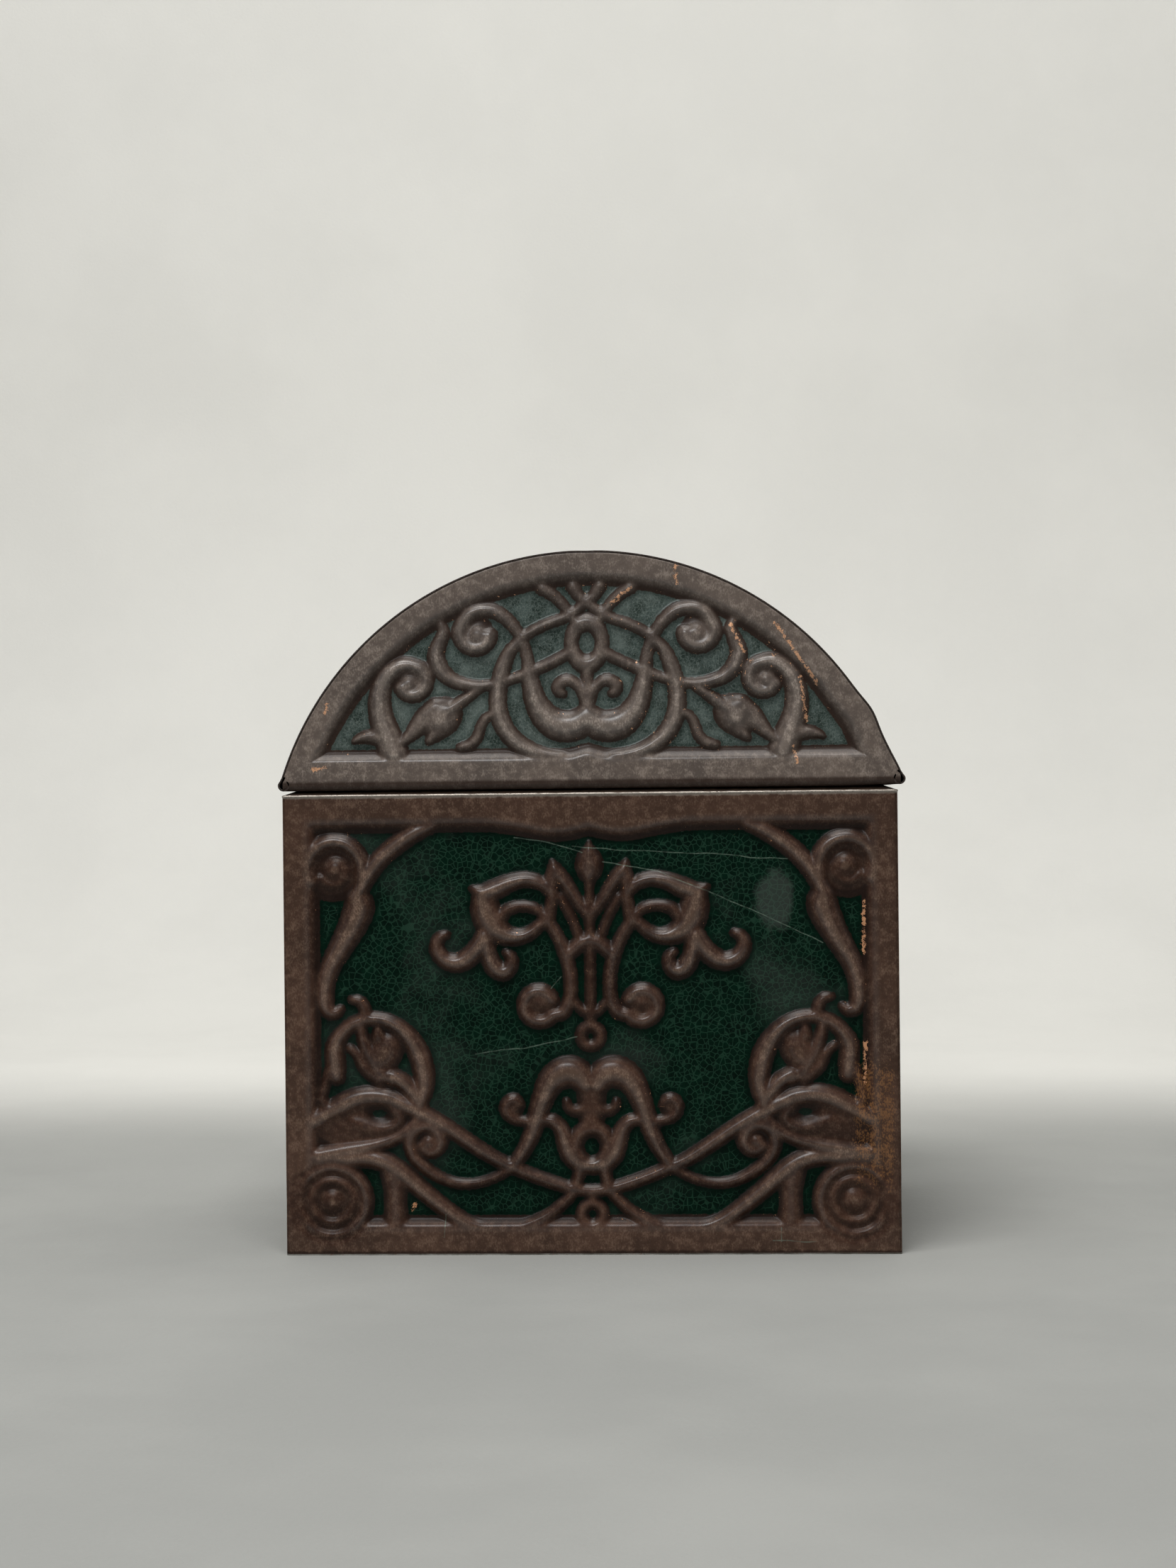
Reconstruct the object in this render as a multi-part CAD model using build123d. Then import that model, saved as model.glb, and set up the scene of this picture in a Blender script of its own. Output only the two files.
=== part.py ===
"""Domed tinplate casket with a hinged lid: a pressed box of four soldered walls, a base, a neck collar
that guides the lid, and an arched lid that turns on a wire at the back.

Frame: the origin is at the middle of the underside. +X is to the right of someone facing the front,
+Y points to the back and +Z is up. Sizes are in millimetres.
"""

import os
from math import atan2, cos, pi, sin

from build123d import *

# ---------------------------------------------------------------- driving sizes
sheet = 0.4  # tinplate thickness

body_width = 180.0
body_depth = 130.0
body_height = 135.0  # table to the shoulder's outer edge
bend_radius = 0.8  # outside radius of a folded corner
side_wall_setback = 0.4  # side walls end this far short of the front and back faces

emboss_depth = 1.7  # how far a field lies below its border
field_corner = 3.0

wall_border_side = 10.0
wall_border_top = 10.0
wall_border_bottom = 10.5

corner_flange = 4.0  # front and back walls, folded round the corner behind the side walls
flange_end_gap = 1.2  # that flange stops this far above the base and below the shoulder
shoulder_flange = 3.0  # folded in under the collar's shoulder
shoulder_flange_notch = 5.0  # left out at each end of that flange

shoulder_rise = 1.5
neck_height = 6.5  # neck above the shoulder
neck_corner = 1.4
neck_clearance = 0.8  # lid's rolled rim to the neck

base_floor_height = 3.0  # underside of the floor above the table
base_rim_corner = 1.5
base_plateau_border = 12.0  # rim to the stiffening plateau
base_plateau_rise = 0.8

lid_gap = 1.2  # lid's lowest edge above the shoulder's outer edge
lid_crown = 69.6  # lid's lowest edge to the top of the vault
lid_overhang = 1.2  # lid's rim beyond the wall, left and right
bead_radius = 1.7  # rolled rim of the lid, outside
arch_foot_inset = 0.45  # outside of the arch to the lid's widest point, at the bead's middle

lunette_border = 8.7  # border along the arch
lunette_border_bottom = 10.0  # border above the lid's lowest edge
lunette_flange = 5.0  # folded back under the vault
vault_border_ends = 9.0  # border at the front and back of the vault
vault_border_sides = 14.0  # border above each side bead, along the arch

wire_radius = 0.8
curl_clearance = 0.02  # radial, between the wire and the lid's curl
strap_clearance = 0.05  # radial, between the wire and a strap's loop
strap_width = 14.0
strap_spacing = 104.0  # centre to centre
strap_length = 26.0  # below the wire
strap_side_gap = 0.4
slot_clearance = 0.15
notch_clearance = 0.35  # lid's plate above a strap's loop
lid_corner_gap = 0.15  # between parts of the lid that meet at a corner

# ---------------------------------------------------------------- worked out from them
half_width = body_width / 2
half_depth = body_depth / 2
ground_inside = sheet + emboss_depth  # outside of a wall to the inside of its field
shoulder_inset = 2 * bead_radius + neck_clearance  # outside of a wall to the outside of the neck
wall_bottom = sheet
wall_top = body_height - sheet
shoulder_slope = shoulder_rise / shoulder_inset
shoulder_top = body_height + shoulder_rise
neck_top = shoulder_top + neck_height
floor_top = base_floor_height + sheet

lid_bottom = body_height + lid_gap
bead_height = lid_bottom + bead_radius
bead_side = half_width + lid_overhang - bead_radius
arch_foot = half_width + lid_overhang - arch_foot_inset
arch_rise = lid_crown - bead_radius
vault_radius = (arch_foot**2 + arch_rise**2) / (2 * arch_rise)
arch_centre = lid_bottom + lid_crown - vault_radius
arch_inside = vault_radius - sheet
bead_hollow = bead_radius - sheet
bead_end = bead_side - bead_radius - lid_corner_gap  # front bead and back curl stop here
bead_opening = (70.0, 130.0)  # degrees, where the right-hand bead is open

curl_hollow = wire_radius + curl_clearance
curl_radius = curl_hollow + sheet
loop_hollow = wire_radius + strap_clearance
loop_radius = loop_hollow + sheet
wire_back = half_depth - loop_radius
wire_height = lid_bottom + curl_radius
strap_face = wire_back - loop_hollow  # back of a strap where it rises to the wire
strap_foot_face = half_depth - ground_inside  # back of a strap where it is soldered to the wall's field
strap_step = body_height - wall_border_top + 2 * sheet  # height of the step between the two
strap_places = (-strap_spacing / 2, strap_spacing / 2)


# ---------------------------------------------------------------- helpers
def block(x0, x1, y0, y1, z0, z1):
    """A box between two corners."""
    return Pos((x0 + x1) / 2, (y0 + y1) / 2, (z0 + z1) / 2) * Box(x1 - x0, y1 - y0, z1 - z0)


def prism_y(face, y0, y1):
    """A face drawn in X and Z, drawn out along Y."""
    return Pos(0, y1, 0) * Rot(90, 0, 0) * extrude(face, y1 - y0, dir=(0, 0, 1))


def prism_x(face, x0, x1):
    """A face drawn in Y and Z, drawn out along X."""
    return Pos(x0, 0, 0) * Plane.YZ.location * extrude(face, x1 - x0, dir=(0, 0, 1))


def prism_z(x_size, y_size, radius, z0, z1):
    """An upright block with rounded corners."""
    return Pos(0, 0, z0) * extrude(RectangleRounded(x_size, y_size, radius), z1 - z0)


def frustum_z(low, high, z0, z1):
    """A block that changes from one rounded rectangle (x, y, radius) to another."""
    return loft([Pos(0, 0, z0) * RectangleRounded(*low), Pos(0, 0, z1) * RectangleRounded(*high)], ruled=True)


def rectangle(x0, x1, y0, y1):
    return Pos((x0 + x1) / 2, (y0 + y1) / 2) * Rectangle(x1 - x0, y1 - y0)


def curl(centre, hollow, outside, gap_from, gap_to):
    """A rolled edge seen end on: a flat ring open between two angles in degrees."""
    reach = 3 * outside
    middle = (gap_from + gap_to) / 2
    half = (gap_to - gap_from) / 2
    x, y = reach * cos(half * pi / 180), reach * sin(half * pi / 180)
    gap = Rot(0, 0, middle) * Polygon((0, 0), (x, y), (x, -y), align=None)
    return Pos(*centre) * (Circle(outside) - Circle(hollow) - gap)


def save(part, name):
    part.label = name
    export_step(part, f"parts/{name}.step")


# ---------------------------------------------------------------- box
def wall(span, border_side, flanged):
    """A pressed wall, upright at y = 0 with its outside towards -Y. A flanged wall is folded at its ends."""
    half = span / 2
    if flanged:
        deep = 4 * corner_flange
        plan = Pos(0, deep / 2) * (
            RectangleRounded(span, deep, bend_radius)
            - RectangleRounded(span - 2 * sheet, deep - 2 * sheet, bend_radius - sheet)
        )
        plan = plan & rectangle(-half, half, 0, corner_flange)
        plate = Pos(0, 0, wall_bottom) * extrude(plan, wall_top - wall_bottom)
        for low, high in (
            (wall_bottom, floor_top + flange_end_gap),
            (wall_top - flange_end_gap - sheet, wall_top),
        ):
            plate -= block(-half, half, bend_radius, corner_flange, low, high)
    else:
        plate = block(-half, half, 0, sheet, wall_bottom, wall_top)

    flange_half = half - shoulder_flange_notch
    drop = sheet * (1 + shoulder_slope)
    flange = Polygon(
        (0, wall_top),
        (shoulder_flange, wall_top + shoulder_flange * shoulder_slope),
        (shoulder_flange, wall_top + shoulder_flange * shoulder_slope - drop),
        (sheet, wall_top - drop),
        (0, wall_top - drop),
        align=None,
    )
    plate += prism_x(flange, -flange_half, flange_half)

    field = (-half + border_side, half - border_side, wall_border_bottom, body_height - wall_border_top)
    backing = (field[0] - sheet, field[1] + sheet, field[2] - sheet, field[3] + sheet)

    def rounded_field(sides, radius):
        x0, x1, z0, z1 = sides
        return Pos((x0 + x1) / 2, (z0 + z1) / 2) * RectangleRounded(x1 - x0, z1 - z0, radius)

    plate += prism_y(rounded_field(backing, field_corner + sheet), 0, ground_inside)
    plate -= prism_y(rounded_field(field, field_corner), -1, emboss_depth)
    return plate


def strap_slots():
    """What a hinge strap needs free where it passes the shoulder."""
    slots = []
    for x in strap_places:
        side = strap_width / 2 + slot_clearance
        slots.append(
            block(
                x - side,
                x + side,
                strap_face - sheet - slot_clearance,
                strap_face + slot_clearance,
                wall_top - 2 * sheet,
                shoulder_top,
            )
        )
    return slots


def make_walls():
    long_span = body_width - 2 * sheet
    long_wall = wall(long_span, wall_border_side - sheet, flanged=True)
    save(Pos(0, -half_depth, 0) * long_wall, "body_front_panel")
    back = Pos(0, half_depth, 0) * Rot(0, 0, 180) * long_wall
    for slot in strap_slots():
        back -= slot
    save(back, "body_back_panel")

    short_span = body_depth - 2 * side_wall_setback
    short_wall = wall(short_span, wall_border_side - side_wall_setback, flanged=False)
    save(Pos(half_width, 0, 0) * Rot(0, 0, 90) * short_wall, "body_right_panel")
    save(Pos(-half_width, 0, 0) * Rot(0, 0, -90) * short_wall, "body_left_panel")


def inset(distance, radius):
    """The box's plan, brought in by a distance."""
    return (body_width - 2 * distance, body_depth - 2 * distance, radius)


def make_base_plate():
    """A pan upside down: a hem under the walls, a rim inside them and a raised floor."""
    base = prism_z(*inset(0, bend_radius), 0, sheet)
    base += prism_z(*inset(sheet, base_rim_corner), 0, floor_top)
    base -= prism_z(*inset(2 * sheet, base_rim_corner - sheet), -1, base_floor_height)
    edge = 2 * sheet + base_plateau_border
    base += prism_z(*inset(edge, field_corner), floor_top, floor_top + base_plateau_rise)
    base -= prism_z(
        *inset(edge + sheet, field_corner - sheet), base_floor_height - 1, base_floor_height + base_plateau_rise
    )
    save(base, "base_plate")


def make_neck_collar():
    """One strip bent into a ring: a sloping shoulder on the walls and a neck inside the lid."""
    neck = shoulder_inset + sheet
    collar = prism_z(*inset(0, bend_radius), wall_top, body_height)
    collar += frustum_z(inset(0, bend_radius), inset(shoulder_inset, neck_corner), body_height, shoulder_top)
    collar += prism_z(*inset(shoulder_inset, neck_corner), shoulder_top, neck_top)
    under = wall_top + neck * shoulder_slope
    collar -= frustum_z(inset(0, bend_radius), inset(neck, neck_corner - sheet), wall_top, under)
    collar -= prism_z(*inset(neck, neck_corner - sheet), under, neck_top + 1)
    for slot in strap_slots():
        collar -= slot
    save(collar, "neck_collar")


# ---------------------------------------------------------------- lid
def segment(radius, low):
    """The part of a disc round the arch's centre that lies above a height."""
    disc = Pos(0, arch_centre) * Circle(radius)
    return disc & rectangle(-radius, radius, low, arch_centre + radius)


def lunette_plate():
    """An arched end wall of the lid without its lower edge, its outside at y = 0 towards -Y."""
    outline = segment(arch_inside, bead_height)
    for side in (-1, 1):
        outline -= Pos(side * bead_side, bead_height) * Circle(bead_radius + lid_corner_gap)
    plate = prism_y(outline, 0, sheet)

    flange_low = bead_height + 2 * bead_radius
    flange = segment(arch_inside, flange_low) - segment(arch_inside - sheet, flange_low)
    plate += prism_y(flange, 0, lunette_flange)

    field_radius = vault_radius - lunette_border
    field_low = lid_bottom + lunette_border_bottom
    plate += prism_y(segment(field_radius + sheet, field_low - sheet), 0, ground_inside)
    plate -= prism_y(segment(field_radius, field_low), -1, emboss_depth)
    return plate


def make_lunettes():
    front = lunette_plate()
    rolled = curl((bead_radius, bead_height), bead_hollow, bead_radius, 60, 180)
    front += prism_x(rolled, -bead_end, bead_end)
    save(Pos(0, -half_depth, 0) * front, "lid_front_lunette")

    back = Pos(0, half_depth, 0) * Rot(0, 0, 180) * lunette_plate()
    low = wire_height
    back += block(-bead_end, bead_end, half_depth - sheet, half_depth, low, bead_height + sheet)
    rolled = curl((wire_back, wire_height), curl_hollow, curl_radius, 8, 60)
    back += prism_x(rolled, -bead_end, bead_end)
    for x in strap_places:
        side = strap_width / 2 + strap_side_gap
        top = wire_height + loop_radius + notch_clearance
        back -= block(x - side, x + side, wire_back - 2 * loop_radius, half_depth + 1, lid_bottom - 1, top)
    save(back, "lid_back_lunette")


def make_vault():
    """The arched cover, with a rolled bead along its left and right edges."""
    sheet_low = bead_height + bead_hollow - lid_corner_gap
    profile = segment(vault_radius, sheet_low) - segment(arch_inside, sheet_low)
    for side in (-1, 1):
        profile -= Pos(side * bead_side, bead_height) * Circle(bead_hollow)
    gap_from, gap_to = bead_opening
    profile += curl((bead_side, bead_height), bead_hollow, bead_radius, gap_from, gap_to)
    profile += curl((-bead_side, bead_height), bead_hollow, bead_radius, 180 - gap_to, 180 - gap_from)
    vault = prism_y(profile, -half_depth, half_depth)

    def sector(inner, outer, grow):
        """A stretch of the arch between two radii, a little larger all round by grow."""
        half = atan2(arch_foot, bead_height - arch_centre) - (vault_border_sides - grow) / vault_radius
        x, z = 2 * outer * sin(half), 2 * outer * cos(half)
        wedge = Polygon((0, 0), (x, z), (0, 4 * outer), (-x, z), align=None)
        ring = (Circle(outer) - Circle(inner)) & wedge
        length = half_depth - vault_border_ends + grow
        return prism_y(Pos(0, arch_centre) * ring, -length, length)

    vault += sector(vault_radius - ground_inside, arch_inside, sheet)
    vault -= sector(vault_radius - emboss_depth, vault_radius + 1, 0)
    save(vault, "lid_vault")


# ---------------------------------------------------------------- hinge
def make_hinge():
    wire = Pos(-bead_end, wire_back, wire_height) * Rot(0, 90, 0) * Cylinder(
        wire_radius, 2 * bead_end, align=(Align.CENTER, Align.CENTER, Align.MIN)
    )
    save(wire, "hinge_wire")

    nearer, farther = sorted((strap_face, strap_foot_face))
    profile = curl((wire_back, wire_height), loop_hollow, loop_radius, 180, 250)
    profile += rectangle(strap_face - sheet, strap_face, strap_step, wire_height)
    profile += rectangle(nearer - sheet, farther, strap_step, strap_step + sheet)
    profile += rectangle(strap_foot_face - sheet, strap_foot_face, wire_height - strap_length, strap_step + sheet)
    for x, side in zip(strap_places, ("left", "right")):
        save(prism_x(profile, x - strap_width / 2, x + strap_width / 2), f"hinge_strap_{side}")


os.makedirs("parts", exist_ok=True)
make_walls()
make_base_plate()
make_neck_collar()
make_lunettes()
make_vault()
make_hinge()
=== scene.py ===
"""Domed tinplate casket: pressed walls and lid, collar, finishes and stage, worked out around the frame.

Laid out as a Blender add-on and run as a script. Shapes are worked out in millimetres and stored in metres.
A panel's ornament is a list of raised lines, domes and rings in the panel's own plane: "across" is the
distance from its middle line, "up" the height above the table, or what stands for it on the lid's cover.
"""

from math import cos, pi, radians, sin, sqrt

import bpy
import numpy as np
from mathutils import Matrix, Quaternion, Vector


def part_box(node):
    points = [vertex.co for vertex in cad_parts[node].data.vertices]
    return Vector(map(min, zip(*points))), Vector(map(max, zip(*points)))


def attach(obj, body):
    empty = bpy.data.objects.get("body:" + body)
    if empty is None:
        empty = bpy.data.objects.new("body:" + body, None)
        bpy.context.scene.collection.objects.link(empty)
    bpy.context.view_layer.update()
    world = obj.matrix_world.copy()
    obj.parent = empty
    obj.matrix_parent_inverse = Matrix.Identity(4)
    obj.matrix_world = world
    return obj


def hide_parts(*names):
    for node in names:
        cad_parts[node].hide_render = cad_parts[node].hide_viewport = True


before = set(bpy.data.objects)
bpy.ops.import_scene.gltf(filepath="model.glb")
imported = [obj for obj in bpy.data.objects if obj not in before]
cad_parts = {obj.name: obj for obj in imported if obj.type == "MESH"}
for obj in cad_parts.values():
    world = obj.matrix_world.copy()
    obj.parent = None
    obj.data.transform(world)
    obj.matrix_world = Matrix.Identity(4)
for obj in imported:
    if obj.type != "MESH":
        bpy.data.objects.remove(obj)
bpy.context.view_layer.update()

MM = 0.001

bl_info = {
    "name": "Domed tinplate casket",
    "version": (1, 0, 0),
    "blender": (4, 5, 0),
    "location": "3D View > Sidebar > Casket",
    "description": "Builds the pressed panels, collar, finishes and stage of a domed tinplate casket",
    "category": "Object",
}


# ---------------------------------------------------------------- places shared by the pieces
def span(node, axis, end):
    """A side of a node's box in millimetres: axis 0 to 2, end 0 for low and 1 for high."""
    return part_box(node)[end][axis] / MM


HALF_WIDTH = span("body_right_panel", 0, 1)
HALF_DEPTH = span("body_back_panel", 1, 1)
FOLDED_HALF = span("body_front_panel", 0, 1)
SIDE_HALF = span("body_right_panel", 1, 1)
WALL_LOW = span("body_front_panel", 2, 0)
COLLAR_LOW = span("neck_collar", 2, 0)
ARCH_TOP = span("lid_vault", 2, 1)
BEAD = 1.7  # radius of the rolled bead round the lid's lower edge
BEAD_X = span("lid_vault", 0, 1) - BEAD
BEAD_Z = span("lid_vault", 2, 0) + BEAD
BEAD_END = span("lid_front_lunette", 0, 1)
FLANGE = span("body_front_panel", 1, 1) + HALF_DEPTH  # folded ends of the long walls
BEND = 0.8  # radius of their bends
SHEET = 0.4
TOP_BORDER = 10  # depth of a wall's upper border
FIELD_TOP = COLLAR_LOW + SHEET - TOP_BORDER
FOLD_Z = COLLAR_LOW + 0.05  # middle of the shoulder's folded edge
FOLD = 0.42  # radius of that fold
NECK = 4.2  # from a wall's outside to the neck's
ARCH_OUT = 94.595  # radius of the cover's outside
ARCH_Z = ARCH_TOP - ARCH_OUT
ARCH_IN = span("lid_front_lunette", 2, 1) - ARCH_Z
RIM_BEND = 0.5  # radius of the bend between an arched end and its flange
LUNETTE_FLANGE = HALF_DEPTH + span("lid_front_lunette", 1, 1)
CURL = 1.22  # radius of the curl round the hinge wire
CURL_DEPTH = HALF_DEPTH - (span("hinge_wire", 1, 0) + span("hinge_wire", 1, 1)) / 2
CURL_Z = (span("hinge_wire", 2, 0) + span("hinge_wire", 2, 1)) / 2
STRAP_GAP = 0.4  # from a strap's side to the curl beside it
STRAP_OUT = span("hinge_strap_right", 0, 1) + STRAP_GAP
STRAP_IN = span("hinge_strap_right", 0, 0) - STRAP_GAP
CURL_RUNS = ((-BEAD_END, -STRAP_OUT), (-STRAP_IN, STRAP_IN), (STRAP_OUT, BEAD_END))
BUCKLE = 0.11  # how far the old sheet lies out of true
KNOCK = 0.8  # how far the lid's front right shoulder is knocked out
COVER_BORDER = 9.0  # plain border at the cover's two ends
COVER_FINENESS = 0.68  # spacing of the cover's points
CREASE_ANGLE = 62  # faces that meet more sharply than this, in degrees, show a crease


# ---------------------------------------------------------------- grids and meshes
def ease(t):
    """Smooth step: three t squared less two t cubed, held at 0 and 1."""
    t = np.clip(t, 0, 1)
    return t * t * (3 - 2 * t)


def graded(stops, spacings, step):
    """Places along a line between stops, spaced as asked, in a whole number of steps for each stretch."""
    parts = [[stops[0]]]
    for low, high, spacing in zip(stops[:-1], stops[1:], spacings):
        count = max(1, round((high - low) / spacing / step)) * step
        parts.append(np.linspace(low, high, count + 1)[1:])
    return np.concatenate(parts)


def smooth(knots, between=6):
    """A Catmull-Rom curve: each span is the cubic through two knots with slopes from their neighbours."""
    k = np.asarray(knots, float)
    k = np.vstack([2 * k[0] - k[1], k, 2 * k[-1] - k[-2]])
    t = (np.arange(between) / between)[None, :, None]
    a, b, c, d = (k[i : len(k) - 3 + i, None] for i in range(4))
    cubic = 2 * b + (c - a) * t + (2 * a - 5 * b + 4 * c - d) * t**2 + (3 * b - a - 3 * c + d) * t**3
    return np.vstack([(cubic / 2).reshape(-1, k.shape[1]), k[-2]])


def spiral(centre, start, end, radii, halves, count=9):
    """Knots of a scroll: radius and half width change evenly with the angle, start to end in degrees."""
    t = np.linspace(0, 1, count)
    angle = np.radians(start + (end - start) * t)
    radius = radii[0] + (radii[1] - radii[0]) * t
    half = halves[0] + (halves[1] - halves[0]) * t
    return np.stack([centre[0] + radius * np.cos(angle), centre[1] + radius * np.sin(angle), half], 1)


def pad_along(grid, axis, reach):
    """A grid with its first and last rows along one axis repeated."""
    return np.pad(grid, [(reach, reach) if a == axis else (0, 0) for a in (0, 1)], mode="edge")


def quads(index):
    """Faces of a grid of point numbers, anticlockwise seen with its first side to the right, second up."""
    return np.stack([index[:-1, :-1], index[1:, :-1], index[1:, 1:], index[:-1, 1:]], -1).reshape(-1, 4)


def shell(outer, inner, step):
    """A closed sheet from two grids of points, the inner one step times coarser.

    Returns the points and three lists of faces: outside, inside and rim. Each rim face joins step edges of
    the outer border to one edge of the inner border.
    """
    out = np.arange(outer.shape[0] * outer.shape[1]).reshape(outer.shape[:2])
    back = out.size + np.arange(inner.shape[0] * inner.shape[1]).reshape(inner.shape[:2])
    rim = []
    for fine, coarse, turned in (
        (out[:, 0], back[:, 0], True),
        (out[:, -1], back[:, -1], False),
        (out[0], back[0], False),
        (out[-1], back[-1], True),
    ):
        first = np.arange(len(coarse) - 1)
        run = fine[first[:, None] * step + np.arange(step + 1)]
        pair = np.stack([coarse[1:], coarse[:-1]], 1)
        rim.append(np.hstack([run[:, ::-1], pair[:, ::-1]] if turned else [run, pair]))
    points = np.vstack([outer.reshape(-1, 3), inner.reshape(-1, 3)])
    return points, quads(out), quads(back)[:, ::-1], np.vstack(rim)


def make_piece(name, points, faces, kinds, materials, body, attributes=None, stands_for=()):
    """A mesh object from points in millimetres and lists of faces, each list with its material's number."""
    mesh = bpy.data.meshes.new(name)
    mesh.vertices.add(len(points))
    mesh.vertices.foreach_set("co", np.ascontiguousarray(points * MM, np.float32).ravel())
    totals = np.concatenate([np.full(len(f), f.shape[1]) for f in faces])
    mesh.loops.add(int(totals.sum()))
    mesh.loops.foreach_set("vertex_index", np.concatenate([f.ravel() for f in faces]).astype(np.int32))
    mesh.polygons.add(len(totals))
    mesh.polygons.foreach_set("loop_start", (np.cumsum(totals) - totals).astype(np.int32))
    order = np.concatenate([np.full(len(f), kind) for f, kind in zip(faces, kinds)])
    mesh.polygons.foreach_set("material_index", order.astype(np.int32))
    for material in materials:
        mesh.materials.append(material)
    mesh.update(calc_edges=True)
    if mesh.validate():
        raise RuntimeError(f"{name} has faces that are not sound")
    for key, values in (attributes or {}).items():
        layer = mesh.attributes.new(key, "FLOAT", "POINT")
        layer.data.foreach_set("value", np.ascontiguousarray(values, np.float32))
    mesh.shade_smooth()
    mesh.set_sharp_from_angle(angle=radians(CREASE_ANGLE))
    piece = bpy.data.objects.new(name, mesh)
    bpy.context.scene.collection.objects.link(piece)
    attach(piece, body)
    if stands_for:
        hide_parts(*stands_for)


# ---------------------------------------------------------------- relief
FLAT_EDGE = 6.0  # how far plain sheet counts as lying inside a raised form
LEAST_HALF = 0.3  # the thinnest a raised line gets
LINE_TOP, TOP_FOR_HALF, HIGHEST = 0.66, 0.2, 1.14  # a line's height, its gain with half width, its limit
HOLE_SLOPE = 1.4  # width over which a hole's side rises
SOFTENING = 2  # rounds of softening


def dome(edge, half, top):
    """Height of a rounded form: the 0.8th power of 1 - (1 - edge / half) squared."""
    t = np.clip(edge / half, 0, 1)
    return top * (1 - (1 - t) ** 2) ** 0.8


class Relief:
    """A pressed relief on a grid of places.

    edge is how far a place lies inside the outline of the nearest raised form, in millimetres, and is
    negative on the ground. rise is its height above the ground as a share of the pressing's depth.
    """

    reach = 4.0  # how far out from a form its edge is worked out

    def __init__(self, across, up):
        self.across = np.abs(across)
        self.up = up
        self.edge = np.full(across.shape, -self.reach)
        self.rise = np.zeros(across.shape)
        self.across_scale = 1.0
        self.half_scale = 1.0
        self.shift_by = 0.0

    def fit(self, *knots):
        """Moves knots of the wide panel's ornament to where they go on this panel."""
        k = np.array(knots, float)
        squeezed = k[:, 0] * (SIDE_FORMS - self.shift_by) / SIDE_FORMS
        k[:, 0] = np.where(k[:, 0] > SIDE_FORMS, k[:, 0] - self.shift_by, squeezed)
        k[:, 0] *= self.across_scale
        k[:, 2] *= self.half_scale
        return k

    def around(self, place, reach):
        """A form's middle on this panel, and the grid's places within reach of it."""
        centre = self.fit((*place, 1.0))[0]
        return centre, self.near(centre[:2] - reach, centre[:2] + reach)

    def near(self, low, high):
        """The grid's places between two corners."""
        box = (self.across > low[0]) & (self.across < high[0]) & (self.up > low[1]) & (self.up < high[1])
        return np.nonzero(box)

    def join(self, where, edge, rise):
        """Adds a form: the larger of what is there and what is new wins at each place."""
        self.edge[where] = np.maximum(self.edge[where], edge)
        self.rise[where] = np.maximum(self.rise[where], rise)

    def region(self, edge, ramp):
        """A flat raised area that rolls down to the ground over a width."""
        where = np.nonzero(edge > -self.reach)
        self.join(where, edge[where], ease(edge[where] / ramp))

    def stroke(self, *knots, top=None):
        """A raised line through knots of (across, up, half width): at each place the widest margin wins."""
        path = smooth(self.fit(*knots))
        reach = path[:, 2].max() + self.reach
        where = self.near(path[:, :2].min(0) - reach, path[:, :2].max(0) + reach)
        place = np.stack([self.across[where], self.up[where]], -1)[:, None]
        start, run = path[:-1], np.diff(path, axis=0)
        along = ((place - start[:, :2]) * run[:, :2]).sum(-1) / np.maximum((run[:, :2] ** 2).sum(-1), 1e-9)
        along = np.clip(along, 0, 1)[..., None]
        off = place - start[:, :2] - along * run[:, :2]
        half = start[:, 2] + along[..., 0] * run[:, 2]
        edge = half - np.sqrt((off**2).sum(-1))
        best = edge.argmax(1)[:, None]
        edge = np.take_along_axis(edge, best, 1)[:, 0]
        half = np.maximum(np.take_along_axis(half, best, 1)[:, 0], LEAST_HALF)
        height = np.clip(LINE_TOP + TOP_FOR_HALF * half, 0, HIGHEST) if top is None else top
        self.join(where, edge, dome(edge, half, height))

    def oval(self, across, up, radii, turn=0.0, top=1.0, hollow=None):
        """A dome, or a ring with hollow as its wall's half width: (r - 1) mean radii from its outline."""
        radii = np.array(radii, float) * (self.half_scale, 1.0)
        centre, where = self.around((across, up), max(radii) + self.reach + (hollow or 0))
        x, z = self.across[where] - centre[0], self.up[where] - centre[1]
        c, s = cos(radians(turn)), sin(radians(turn))
        share = np.hypot((x * c + z * s) / radii[0], (z * c - x * s) / radii[1])
        size = sqrt(radii[0] * radii[1])
        edge = (1 - share) * size if hollow is None else hollow - np.abs(share - 1) * size
        self.join(where, edge, dome(edge, hollow or size, top))

    def sink(self, across, up, radius, level):
        """Presses a disc down to a level, keeping its colour. Its side is a millimetre wide."""
        centre, where = self.around((across, up), radius + 1)
        inside = radius - np.hypot(self.across[where] - centre[0], self.up[where] - centre[1])
        share = ease(inside + 0.5)
        self.rise[where] = self.rise[where] * (1 - share) + np.minimum(self.rise[where], level) * share

    def pierce(self, across, up, radii):
        """Takes a hole's ground down again through whatever is raised there."""
        wide, high = np.broadcast_to(radii, 2)
        centre, where = self.around((across, up), max(wide, high) + 2)
        x, z = self.across[where] - centre[0], self.up[where] - centre[1]
        outside = (np.hypot(x / wide, z / high) - 1) * sqrt(wide * high)
        self.edge[where] = np.minimum(self.edge[where], outside)
        self.rise[where] = np.minimum(self.rise[where], ease(outside / HOLE_SLOPE))

    def soften(self):
        """Rounds creases as a press does: each place takes a quarter of each neighbour, row by row."""
        for axis in (0, 1) * SOFTENING:
            size = self.rise.shape[axis]
            padded = pad_along(self.rise, axis, 1)
            sides = np.take(padded, range(size), axis) + np.take(padded, range(2, size + 2), axis)
            self.rise = 0.5 * self.rise + 0.25 * sides


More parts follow.
